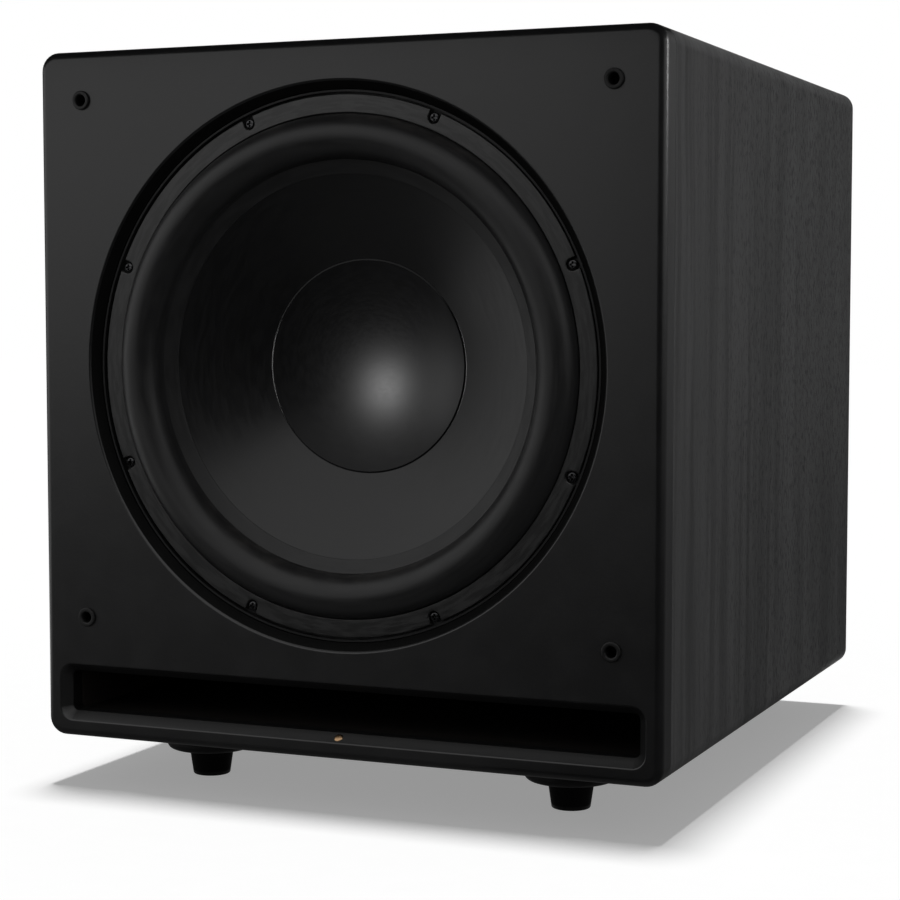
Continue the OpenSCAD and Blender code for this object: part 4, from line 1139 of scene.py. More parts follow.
    def sockets(self) -> None:
        """Builds the four grille sockets with their round lips."""
        bore, floor, (body, end), (lip, rise) = self.ring_bore, self.ring_floor, self.ring_body, self.ring_lip
        section = [(0, floor), (bore, floor), (bore, rise), (lip, rise), (lip, 0), (body, 0), (body, end), (0, end)]
        draft = Facing.FRONT.draft(0, self.front_y, 0)
        for place in self.socket_places():
            draft.lathe(softened(section, 1.1, 5), 40, place)
        draft.finish("grille_socket_rings", self.socket_plastic, "socket_plastic", "grille_sockets")

    def dot(self) -> None:
        """Builds the plain domed dot on the slot's lower flare."""
        tilt = math.atan2(self.flare_width, self.flare_depth)
        across, outward = Vector((1, 0, 0)), Vector((0, -math.sin(tilt), math.cos(tilt)))
        low = self.slot_mid - self.slot_height / 2 - self.flare_width / 2
        origin = Vector((0, self.front_y + self.flare_depth / 2, low))
        draft = Draft(Seat(origin, across, outward.cross(across), outward))
        draft.lathe([(0, 0.8), (1.2, 0.77), (2.2, 0.64), (2.9, 0.4), (3.2, 0.05), (3.2, -0.2), (0, -0.2)], 40)
        draft.finish("plain_dot", self.bronze, "bronze", "badge_dot")


@dataclass
class Feet:
    """Four feet: a round base disc, a tapered rubber pad and the screw in its well."""

    places: tuple[Point, ...] = ((-147.0, -197.05), (147.0, -197.05), (-147.0, 186.95), (147.0, 186.95))
    height: float = 38.0
    base_r: float = 34.0
    base_h: float = 17.4
    base_edge: float = 5.0
    bevel: float = 0.6
    pad_top: float = 17.0
    pad_foot: float = 14.0
    pad_round: float = 1.4
    well_r: float = 5.4
    well: float = 12.0
    bore: float = 2.45
    screw: CrossScrew = CrossScrew(5.0, 3.0, 2.4, 39.6)
    plastic: Finish = Finish("foot_base_plastic", grey(0.006, 0.0061), rough=0.42, specular=0.25, depth=0.00002)
    rubber: Finish = Finish("foot_pad_rubber", grey(0.0016), specular=0.08, dust=0.03, grain=700.0, depth=0.00005)
    zinc: Finish = Metal("zinc_plate", grey(0.5, 0.49), rough=0.35)

    def build(self) -> None:
        """Builds the discs, the pads and the screws."""
        low, bore = self.height - self.base_h, self.bore
        round_edge = arc((self.base_r - self.base_edge, low + self.base_edge), self.base_edge, 0, -QUARTER_TURN, 8)
        top = [(bore, self.height), (self.base_r - self.bevel, self.height), (self.base_r, self.height - self.bevel)]
        taper = [(bore, low), (self.pad_top, low), (self.pad_foot, 0)]
        hollow = [(self.well_r, 0), (self.well_r, self.well), (bore, self.well)]
        pad = softened([*taper, *hollow], self.pad_round, closed=True)
        discs, pads = (Facing.TOP.draft(0, 0, 0) for _ in range(2))
        screws = Facing.UNDER.draft(0, 0, self.well)
        for x, y in self.places:
            discs.lathe([*top, *round_edge, (bore, low)], 72, (x, y))
            pads.lathe(pad, 56, (x, y))
            screws.cross_screw((x, -y), self.screw)
        discs.finish("foot_discs", self.plastic, "foot_plastic", "foot_bases")
        pads.finish("foot_rubbers", self.rubber, "foot_rubber", "foot_pads")
        screws.finish("foot_cross_screws", self.zinc, "zinc", "foot_screws")


# ---------------------------------------------------------------- woofer


@dataclass
class Woofer:
    """Trim ring, screws, surround, cone, dished cap and spider; depths are counted from the baffle's face."""

    screws: int = 8
    screw_ring: float = 187.0
    screw: CrossScrew = CrossScrew(3.5, 2.6, 2.4, 26.0)
    seat_depth: float = 12.6
    land_depth: float = 11.4
    trim_depth: float = 9.0
    trim_inner: float = 178.3
    trim_outer: float = 191.4
    notch: float = 4.25
    roll_clamp: float = 182.5
    roll_outer: float = 178.0
    roll_inner: float = 147.0
    roll_height: float = 16.5
    rubber: float = 1.8
    knee: Point = (136.8, 20.1)
    rim: Point = (147.0, 15.3)
    neck: Point = (38.5, 74.9)
    collar: float = 6.0
    shell: float = 1.8
    glue: float = 0.05
    dish_r: float = 155.545
    dish_middle: float = -82.942
    dish_edge: float = 29.375
    spider_inner: float = 38.5
    spider_outer: float = 87.5
    spider_depth: float = 95.1
    spider_waves: int = 5
    spider_wave: float = 2.2
    spider_cloth: float = 0.9
    terminal_r: float = 116.0
    trim_rubber: Finish = Turned(
        "satin_trim_rubber",
        grey(0.007, 0.0071),
        rough=0.35,
        specular=0.46,
        rough_spread=0.02,
        spread=0.5,
        smears=0.14,
        tight=380.0,
        winding=9.0,
    )
    black_oxide: Finish = Metal("black_oxide", grey(0.05, 0.052), rough=0.2, metallic=0.9)
    roll_rubber: Finish = Turned(
        "surround_rubber_satin",
        grey(0.0072, 0.0074),
        rough=0.43,
        specular=0.33,
        rough_spread=0.04,
        tight=500.0,
        relief=0.000004,
        depth=0.000012,
    )
    polypropylene: Finish = Turned(
        "cone_satin_black",
        grey(0.0042, 0.0044),
        rough=0.33,
        specular=0.4,
        rough_spread=0.02,
        relief=0.000003,
        depth=0.000008,
        dust=0.03,
    )
    cap_plastic: Finish = Turned(
        "cap_satin_black",
        grey(0.0018, 0.0019),
        rough=0.36,
        specular=0.12,
        rough_spread=0.015,
        tight=700.0,
        relief=0.000004,
        depth=0.000008,
        dust=0.03,
    )
    bead_gloss: Finish = Finish(
        "cap_bead_gloss", grey(0.0015, 0.0016), rough=0.22, specular=0.14, rough_spread=0.03, dust=0.0, depth=0.000004
    )
    cloth: Finish = Cloth("spider_cotton", (0.34, 0.2, 0.06), rough=0.75, specular=0.3, depth=0.0003, dust=0.0)
    braid: Finish = Metal("copper_braid", (0.6, 0.27, 0.13), rough=0.35, grain=4000.0, depth=0.00008)

    def build(self) -> None:
        """Builds every piece seen from the front, and the spider and leads behind the cone."""
        self.trim_ring()
        self.cross_screws()
        self.cone()
        self.dished_cap()
        self.surround()
        self.spider()
        self.leads()

    def lathe(self, section: Sequence[Point], count: int = 192) -> Draft:
        """Turns a section of (radius, depth) pairs round the woofer's axis.

        Args:
            section: The pairs, with depths behind the front.
            count: Steps in a full turn.

        Returns:
            The draft with the turned section.
        """
        draft = Facing.FRONT.draft(*WOOFER_CENTRE)
        draft.lathe([(radius, -depth) for radius, depth in section], count)
        return draft

    def screw_turns(self) -> list[float]:
        """Angle of each screw round the axis."""
        return [math.tau * (k + 0.5) / self.screws for k in range(self.screws)]

    def trim_ring(self) -> None:
        """Builds the rubber ring that covers the flange, with a notch open to the outside at each screw."""
        mouth = math.asin(self.notch / self.trim_outer)
        span = math.tau / self.screws - 2 * mouth
        notch = arc((self.screw_ring, 0), self.notch, -QUARTER_TURN, -HALF_TURN, 12)
        loop = []
        for turn in self.screw_turns():
            loop += spun(notch, turn)
            loop += arc((0, 0), self.trim_outer, turn + mouth, span, 16)
        top, seat, land = -self.trim_depth, -self.seat_depth, -self.land_depth
        outside = softened([(-2, top), (0, top), (0, seat)], 0.8, 3)[1:]
        inside = softened([(2, top), (0, top), (0, land), (4.3, land), (4.3, seat)], 0.7, 3)[1:]
        draft = Facing.FRONT.draft(*WOOFER_CENTRE)
        draft.plate(loop, outside, [Opening(circle(self.trim_inner, 160), inside)])
        draft.finish("rubber_trim_ring", self.trim_rubber, "trim_rubber", "trim_ring")

    def cross_screws(self) -> None:
        """Builds the eight cross-headed screws in the notches."""
        x, y, z = WOOFER_CENTRE
        draft = Facing.FRONT.draft(x, y + self.seat_depth, z)
        for turn in self.screw_turns():
            draft.cross_screw(spun([(self.screw_ring, 0)], turn)[0], self.screw)
        draft.finish("woofer_cross_screws", self.black_oxide, "black_screws", "woofer_screws")

    def surround(self) -> None:
        """Builds the half-roll surround; it unrolls between the trim ring and the cone's rim."""
        middle, half = (self.roll_outer + self.roll_inner) / 2, (self.roll_outer - self.roll_inner) / 2
        centre, inner = (middle, self.seat_depth), half - self.rubber
        crown = arc(centre, half, 0, HALF_TURN, 40, -self.roll_height)
        hollow = arc(centre, inner, 0, HALF_TURN, 40, self.rubber - self.roll_height)
        clamp, low = self.roll_clamp, self.land_depth
        (rim_r, rim_d), (knee_r, knee_d) = self.rim, self.knee
        crown = [(r, d) for r, d in crown[1:] if r > rim_r + 0.2 or d < rim_d - 1.6]
        outer = [(clamp, self.seat_depth), (clamp, low), (self.roll_outer + 0.6, low)]
        land = [(rim_r - 0.7, rim_d - 0.55), (knee_r + 0.5, knee_d - 1.15), (knee_r, knee_d - 0.6)]
        under = [(knee_r, knee_d), (rim_r, rim_d), (middle - inner, rim_d)]
        draft = self.lathe([*outer, *crown, *land, *under, *reversed(hollow)])
        obj = draft.bare("half_roll_surround", self.roll_rubber)
        self.flex(obj, "surround_rubber", "surround", self.roll_outer, self.roll_inner)

    def flex(self, obj: bpy.types.Object, slot: str, node: str, held: float, moving: float) -> None:
        """Lets a piece bend between the cabinet and the cone, all round the axis.

        Args:
            obj: The piece.
            slot: Passed on to fixed, which does not use it.
            node: CAD node that it stands for.
            held: Radius, in millimetres, outside which it stays with the cabinet.
            moving: Radius inside which it follows the cone.
        """
        x, y, z = (value * MM for value in WOOFER_CENTRE)
        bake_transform(obj, CABINET, CONE, start=(x + held * MM, y, z), end=(x + moving * MM, y, z))
        for vert, share in zip(obj.data.vertices, obj.data.attributes["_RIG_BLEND"].data):
            radius = math.hypot(vert.co.x - x, vert.co.z - z) / MM
            part = min(1.0, max(0.0, (held - radius) / (held - moving)))
            share.value = part * part * (3 - 2 * part)
        fixed(obj, "", slot, node)

    def cone(self) -> None:
        """Builds the cone with its kneed rim."""
        shell, (knee_r, knee_d), (rim_r, rim_d) = self.shell, self.knee, self.rim
        neck_r, neck_d = self.neck
        face = [(neck_r, neck_d), (knee_r, knee_d + self.glue), (rim_r, rim_d + self.glue)]
        rear = [(r, d + self.glue + shell) for r, d in (self.rim, self.knee)]
        rear.append((neck_r + 2, neck_d + shell + 1))
        collar = [(neck_r + 2, neck_d + self.collar), (neck_r, neck_d + self.collar)]
        draft = self.lathe(softened([*face, *rear, *collar], 0.8, 3, closed=True))
        draft.finish("kneed_cone", self.polypropylene, "cone_shell", "cone", body=CONE)

    def dished_cap(self) -> None:
        """Builds the dished dust cap with its thin turned rim."""
        sweep = math.radians(self.dish_edge)
        front, back = (
            [(radius, depth) for depth, radius in arc((self.dish_middle, 0), self.dish_r + skin, 0, sweep, 40)]
            for skin in (0, 1)
        )
        edge_r, edge_d = front[-1]
        lip = [(edge_r - 0.05, edge_d + 0.02), (edge_r, edge_d + 0.2), (edge_r, edge_d + 0.9)]
        draft = self.lathe([*front[:-1], *lip, *reversed(back)], 160)
        draft.finish("dished_dust_cap", self.cap_plastic, "cap_shell", "dust_cap", body=CONE)
        bead = softened([(0.06, 0.1), (1.15, 0.42), (1.2, 0.6), (1.2, 0.74), (0.06, 0.9)], 0.06, 2, closed=True)
        draft = self.lathe([(edge_r + out, edge_d + down) for out, down in bead])
        draft.finish("dust_cap_bead", self.bead_gloss, "cap_shell", body=CONE)

    def spider(self) -> None:
        """Builds the corrugated spider."""
        steps = self.spider_waves * 12
        start, end = self.spider_inner + 2, self.spider_outer - 9.5
        front = [(self.spider_inner, self.spider_depth)]
        for i in range(steps + 1):
            wave = math.sin(math.tau * self.spider_waves * i / steps) * min(1.0, i / 6, (steps - i) / 6)
            front.append((start + (end - start) * i / steps, self.spider_depth - self.spider_wave * wave))
        front.append((self.spider_outer, self.spider_depth))
        back = [(radius, depth + self.spider_cloth) for radius, depth in reversed(front)]
        obj = self.lathe([*front, *back], 128).bare("corrugated_spider", self.cloth)
        self.flex(obj, "spider_cloth", "spider", end + 4, start)

    def leads(self) -> None:
        """Copies the braided leads, so that they bend between the cone and the terminals."""
        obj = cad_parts["tinsel_leads"].copy()
        obj.name, obj.parent, obj.data = "braided_leads", None, obj.data.copy()
        bpy.context.scene.collection.objects.link(obj)
        obj.data.materials.clear()
        obj.data.materials.append(self.braid.material())
        LOG.info("piece %s: %d faces", obj.name, len(obj.data.polygons))
        self.flex(obj, "copper", "tinsel_leads", self.terminal_r, self.spider_inner + 10)


# ---------------------------------------------------------------- amplifier


@dataclass(frozen=True)
class Dial:
    """A knob's name, its axis across the plate and the numbers at its two ends."""

    name: str
    x: float
    first: str
    last: str


@dataclass
class Amplifier:
    """Plate, heatsink, controls and sockets on the back; places are counted from the plate's middle."""

    face_y: float = 267.95
    middle_z: float = 378.0
    width: float = 280.0
    height: float = 250.0
    corner: float = 6.0
    plate: float = 3.0
    screw_x: float = 133.0
    screw_z: float = 118.0
    screw: CrossScrew = CrossScrew(3.6, 2.2, 2.0, 12.0)
    screw_hole: float = 2.4
    sink_width: float = 220.0
    sink_low: float = 42.0
    sink_tall: float = 64.0
    sink_base: float = 3.0
    fins: int = 22
    fin: float = 2.0
    fin_height: float = 16.0
    control_z: float = 15.0
    knob_r: float = 9.0
    knob_low: float = 0.4
    knob_high: float = 14.4
    ribs: int = 24
    rib: float = 0.9
    shaft_r: float = 3.0
    shaft_end: float = -14.0
    shaft_hole: float = 3.4
    pointer: float = 5.2
    groove: Point = (1.2, 5.0)
    dials: tuple[Dial, ...] = (
        Dial("gain", -80.0, "0", "10"),
        Dial("crossover", -30.0, "40", "160"),
        Dial("phase", 20.0, "0", "180"),
    )
    sweep: float = 150.0
    ticks: int = 11
    tick_start: float = 11.2
    long_tick: Point = (0.3, 14.2)
    short_tick: Point = (0.2, 13.0)
    end_place: Point = (9.2, -17.0)
    number_size: float = 4.2
    jack_x: Point = (-92.0, -68.0)
    jack_z: Point = (-28.0, -54.0)
    jack_hole: float = 4.6
    jack_body: Point = (13.0, 13.0)
    jack_depths: Point = (-4.0, -16.0)
    inlet: Point = (78.0, -78.0)
    inlet_cutout: Point = (28.4, 34.4)
    inlet_flange: Point = (38.0, 40.0)
    inlet_rise: float = 2.0
    inlet_body: Point = (28.0, 34.0)
    inlet_depth: float = 22.0
    cavity: Point = (22.6, 16.2)
    cavity_z: float = -5.5
    cavity_end: float = -14.0
    drawer: Point = (22.8, 7.8)
    drawer_z: float = 10.5
    drawer_end: float = -17.0
    fixing_x: float = 16.6
    fixing_r: float = 1.6
    rocker: Point = (28.0, -90.0)
    rocker_cutout: Point = (17.4, 23.4)
    rocker_flange: Point = (21.0, 27.0)
    rocker_rise: float = 1.5
    rocker_body: Point = (17.0, 23.0)
    rocker_depth: float = 14.0
    pocket: Point = (13.8, 20.8)
    pocket_end: float = -12.0
    pivot_depth: float = 2.0
    tip: float = 9.0
    mark_size: float = 4.6
    mode_x: float = 66.0
    mode_cutout: Point = (10.8, 5.8)
    light_x: float = 96.0
    light_hole: float = 1.9
    anodised: Finish = Finish(
        "black_anodised",
        grey(0.018, 0.019),
        rough=0.42,
        rough_spread=0.015,
        metallic=0.35,
        grain=2200.0,
        depth=0.00001,
    )
    black_oxide: Finish = Metal("amp_screw_black", grey(0.05, 0.052), rough=0.28, metallic=0.9)
    gold: Finish = Metal("gold_plate", (0.85, 0.56, 0.2), rough=0.2, depth=0.000006)
    nylon: Finish = Finish("black_nylon", grey(0.012), rough=0.48, grain=1500.0, depth=0.00002)
    red: Finish = Finish("red_insulator", (0.5, 0.015, 0.01), rough=0.4, depth=0.00001)
    white: Finish = Finish("white_insulator", grey(0.7, 0.68), rough=0.4, depth=0.00001)
    ink: Finish = Finish("white_ink", grey(0.62, 0.6), rough=0.6, grain=3000.0, depth=0.000005)
    lens: Finish = Clear("green_lens", (0.45, 0.9, 0.55), rough=0.15, depth=0.00001)

    def build(self) -> None:
        """Builds every piece that shows on the back."""
        self.amp_plate()
        self.amp_screws()
        self.heatsink()
        for dial in self.dials:
            self.knob(dial)
        self.jacks()
        self.mains_inlet()
        self.power_switch()
        self.status_light()
        self.marks()

    def draft(self) -> Draft:
        """An empty mesh at the plate's middle on its outer face."""
        return Facing.BACK.draft(0, self.face_y, self.middle_z)

    def screw_places(self) -> list[Point]:
        """Place of each screw of the plate."""
        rows = [(x, k * self.screw_z / 3) for x in (-self.screw_x, self.screw_x) for k in (-3, -1, 1, 3)]
        return [*rows, (0, -self.screw_z), (0, self.screw_z)]

    def jack_places(self) -> list[Point]:
        """Place of each phono jack."""
        return [(x, z) for x in self.jack_x for z in self.jack_z]

    def amp_plate(self) -> None:
        """Builds the plate with a hole for each thing that passes it."""
        holes = [circle(self.screw_hole, 24, place) for place in self.screw_places()]
        holes += [circle(self.shaft_hole, 32, (dial.x, self.control_z)) for dial in self.dials]
        holes += [circle(self.jack_hole, 32, place) for place in self.jack_places()]
        holes.append(circle(self.light_hole, 24, (self.light_x, self.control_z)))
        mode = (self.mode_x, self.control_z)
        cutouts = ((self.inlet_cutout, self.inlet), (self.rocker_cutout, self.rocker), (self.mode_cutout, mode))
        holes += [rounded_rect(*size, 0.3, place, 2) for size, place in cutouts]
        draft, openings = self.draft(), [bevelled(hole, 0.25, 0, -self.plate) for hole in holes]
        draft.plate(rounded_rect(self.width, self.height, self.corner), eased(0, -self.plate), openings)
        draft.finish("amplifier_plate", self.anodised, "amp_finish", "amp_plate")

    def amp_screws(self) -> None:
        """Builds the plate's cross-headed screws."""
        draft = self.draft()
        for place in self.screw_places():
            draft.cross_screw(place, self.screw)
        draft.finish("amplifier_cross_screws", self.black_oxide, "black_screws", "amp_screws")

    def heatsink(self) -> None:
        """Builds the finned heatsink as one extrusion."""
        half, pitch = self.sink_width / 2, (self.sink_width - self.fin) / (self.fins - 1)
        comb = [(-half, 0), (half, 0)]
        for k in reversed(range(self.fins)):
            left = k * pitch - half
            comb += [(left + self.fin, self.fin_height), (left, self.fin_height)]
            if k:
                comb += [(left, self.sink_base), (left - pitch + self.fin, self.sink_base)]
        draft = Facing.TOP.draft(0, self.face_y, self.middle_z + self.sink_low)
        draft.plate(softened(comb, 0.7, 3, closed=True), slab(self.sink_tall, 0, 0.2))
        draft.finish("finned_heatsink", self.anodised, "amp_finish", "heatsink")

    def knob(self, dial: Dial) -> None:
        """Builds a ribbed knob with a pointer groove and its shaft.

        Args:
            dial: The control that it belongs to.
        """
        centre, low, high = (dial.x, self.control_z), self.knob_low, self.knob_high
        pitch, steps = math.tau / self.ribs, 8
        ribbed = []
        for k in range(self.ribs):
            for step in range(steps):
                away = min(step, steps - step) / steps * pitch * self.knob_r
                rise = math.sqrt(max(0.0, self.rib**2 - away**2)) - 0.5
                ribbed += spun([(self.knob_r - max(0.0, rise), 0)], pitch * (k + step / steps), centre)
        draft = self.draft()
        plain = circle(self.knob_r, self.ribs * steps, centre)
        shoulder = [(-0.4, low), (0, low + 0.4), (0, low + 2.8)]
        crown = [(0, low + 3.3), (0, high - 0.9), (-0.25, high - 0.3), (-0.8, high)]
        rings = [draft.ring(grown(plain, growth), z) for growth, z in shoulder]
        rings += [draft.ring(grown(ribbed, growth), z) for growth, z in crown]
        draft.wall(rings)
        groove = rounded_rect(*self.groove, 0.5, (dial.x, self.control_z + self.pointer), 3)
        pointer = draft.sweep(groove, [(0, high), (-0.1, high - 0.8)])
        draft.cap(rings[-1], pointer[0])
        draft.cap(pointer[-1])
        shaft = [draft.ring(circle(self.shaft_r, 32, centre), z) for z in (low, self.shaft_end + 0.4)]
        shaft.append(draft.ring(circle(self.shaft_r - 0.4, 32, centre), self.shaft_end))
        draft.cap(rings[0], shaft[0])
        draft.wall(shaft)
        draft.cap(shaft[-1])
        axes, line_z = tuple(other.x for other in self.dials), self.middle_z + self.control_z + 2.6
        plastic = Knob("knob_black", grey(0.009), rough=0.45, centres=axes, line_z=line_z)
        draft.finish(f"{dial.name}_dial", plastic, "knob_plastic", f"{dial.name}_knob", body=f"{dial.name}_control")

    def jacks(self) -> None:
        """Builds the four phono jacks: gold shells, coloured insulators and moulded bodies."""
        shell = [(3.9, -4), (3.9, 1), (4.2, 1), (4.2, 9.1), (3.9, 9.5), (3.6, 9.5), (3.4, 9.3), (3.4, 2), (1.9, 2)]
        shell += [(1.9, 9.1), (1.75, 9.3), (1.6, 9.2), (1.6, -4)]
        ring = [(1.95, 2.05), (2.6, 2.05), (2.6, 8.9), (2.45, 9.1), (2.1, 9.1), (1.95, 8.9)]
        shells, bodies = self.draft(), self.draft()
        for place in self.jack_places():
            shells.lathe(shell, 40, place)
            bodies.plate(rounded_rect(*self.jack_body, 1, place, 3), slab(*self.jack_depths, 0.3))
        shells.finish("gold_jack_shells", self.gold, "gold_contacts", "phono_jacks")
        bodies.finish("jack_bodies", self.nylon, "black_nylon")
        for finish, z in ((self.white, self.jack_z[0]), (self.red, self.jack_z[1])):
            draft = self.draft()
            for x in self.jack_x:
                draft.lathe(ring, 32, (x, z))
            draft.finish(f"jack_{finish.name}s", finish, "gold_contacts")

    def mains_inlet(self) -> None:
        """Builds the inlet with its socket, its drawer's slot and two fixing holes."""
        (x, z), rise, draft = self.inlet, self.inlet_rise, self.draft()
        cavity = rounded_rect(*self.cavity, 2, (x, z + self.cavity_z))
        drawer = rounded_rect(*self.drawer, 0.3, (x, z + self.drawer_z), 2)
        openings = [bevelled(cavity, 0.4, rise, self.cavity_end, False)]
        openings.append(bevelled(drawer, 0.1, rise, self.drawer_end, False))
        for side in (-1, 1):
            openings.append(bevelled(circle(self.fixing_r, 24, (x + side * self.fixing_x, z)), 0.7, rise, 0))
        body = rounded_rect(*self.inlet_body, 0.6, (x, z), 3)
        draft.plate(rounded_rect(*self.inlet_flange, 3, (x, z)), eased(rise, 0), openings, body, self.inlet_depth)
        draft.finish("mains_inlet_shell", self.nylon, "inlet_plastic", "power_inlet")

    def power_switch(self) -> None:
        """Builds the rocker's frame and the tipped rocker with its two marks."""
        (x, z), rise, draft = self.rocker, self.rocker_rise, self.draft()
        pocket = bevelled(rounded_rect(*self.pocket, 0.4, (x, z), 3), 0.3, rise, self.pocket_end, False)
        body = rounded_rect(*self.rocker_body, 0.6, (x, z), 3)
        flange = rounded_rect(*self.rocker_flange, 1.5, (x, z), 4)
        draft.plate(flange, eased(rise, 0), [pocket], body, self.rocker_depth)
        draft.finish("rocker_bezel", self.nylon, "inlet_plastic", "rocker_frame")
        tip, pivot = math.radians(self.tip), Vector((x, self.face_y - self.pivot_depth, self.middle_z + z))
        corners = [(-3, -8.1), (5.4, -8.1), (3.2, 0), (5.4, 8.1), (-3, 8.1), (-6, 4), (-6, -4)]
        draft = Facing.SECTION.draft(*pivot)
        section = spun(softened(corners, 0.7, 3, closed=True), tip)
        draft.plate(section, [(-0.4, 6.5), (-0.1, 6.4), (0, 6.1), (0, -6.1), (-0.1, -6.4), (-0.4, -6.5)])
        for side in (-1, 1):
            draft.lathe([(r, side * h) for r, h in ((0, 6.3), (1.2, 6.3), (1.2, 7.7), (1.05, 7.8), (0, 7.8))], 24)
        draft.finish("tipped_rocker", self.nylon, "inlet_plastic", "power_rocker", body="power_switch")
        turn = Matrix.Rotation(tip, 3, "X")
        for letter, side in (("I", 1), ("O", -1)):
            up, out = Vector((0, side * 2.2, 8.1)).normalized(), Vector((0, 8.1, -side * 2.2)).normalized()
            spot = turn @ (Vector((0, 4.3, side * 4.05)) + out * 0.02) + pivot
            obj = self.printed(f"rocker_mark_{letter}", [(letter, spot, turn @ up, turn @ out)], self.mark_size)
            fixed(obj, "power_switch", "inlet_plastic")

    def printed(self, name: str, words: Sequence[tuple[str, Vector, Vector, Vector]], size: float) -> bpy.types.Object:
        """Makes flat printed numbers or marks.

        Args:
            name: Name of the piece.
            words: Each text with its middle in millimetres, its upward direction and its outward direction.
            size: Height of a line of text.

        Returns:
            The mesh of all of them.
        """
        mesh = bmesh.new()
        for text, origin, upward, outward in words:
            curve = bpy.data.curves.new(name, "FONT")
            curve.body, curve.size, curve.extrude = text, size * MM, 0.02 * MM
            curve.align_x, curve.align_y = "CENTER", "CENTER"
            holder = placed(name, curve)
            bpy.context.view_layer.update()
            letters = bpy.data.meshes.new_from_object(holder.evaluated_get(bpy.context.evaluated_depsgraph_get()))
            place = Matrix((upward.cross(outward), upward, outward)).transposed().to_4x4()
            place.translation = origin * MM
            letters.transform(place)
            mesh.from_mesh(letters)
            bpy.data.meshes.remove(letters)
            bpy.data.objects.remove(holder)
            bpy.data.curves.remove(curve)
        bmesh.ops.remove_doubles(mesh, verts=mesh.verts, dist=1e-7)
        return dressed(name, mesh, self.ink)

    def status_light(self) -> None:
        """Builds the domed lens of the status light."""
        stem = [(0, -16), (2.5, -16), (2.5, -3.05), (1.5, -3.05)]
        dome = [(1.5, 0.2), (1.4, 0.45), (1.1, 0.66), (0.6, 0.77), (0, 0.8)]
        draft = self.draft()
        draft.lathe([*stem, *dome], 32, (self.light_x, self.control_z))
        draft.finish("status_lens", self.lens, "light_lens", "status_light")

    def marks(self) -> None:
        """Prints tick marks and end numbers round each dial."""
        ticks, words = self.draft(), []
        pitch, (aside, below) = 2 * self.sweep / (self.ticks - 1), self.end_place
        for dial in self.dials:
            for k in range(self.ticks):
                half, end = self.short_tick if k % 5 else self.long_tick
                corners = [(-half, self.tick_start), (-half, end), (half, end), (half, self.tick_start)]
                loop = spun(corners, math.radians(self.sweep - pitch * k), (dial.x, self.control_z))
                rings = [ticks.ring(loop, height) for height in (0.005, 0.04)]
                ticks.wall(rings)
                for ring in rings:
                    ticks.mesh.faces.new(ring)
            for word, side in ((dial.first, 1), (dial.last, -1)):
                place = ticks.seat.at(dial.x + side * aside, self.control_z + below, 0.025) / MM
                words.append((word, place, ticks.seat.upward, ticks.seat.outward))
        for obj in (dressed("dial_ticks", ticks.mesh, self.ink), self.printed("dial_numbers", words, self.number_size)):
            fixed(obj, CABINET, "amp_finish")


# ---------------------------------------------------------------- pieces that keep their CAD mesh


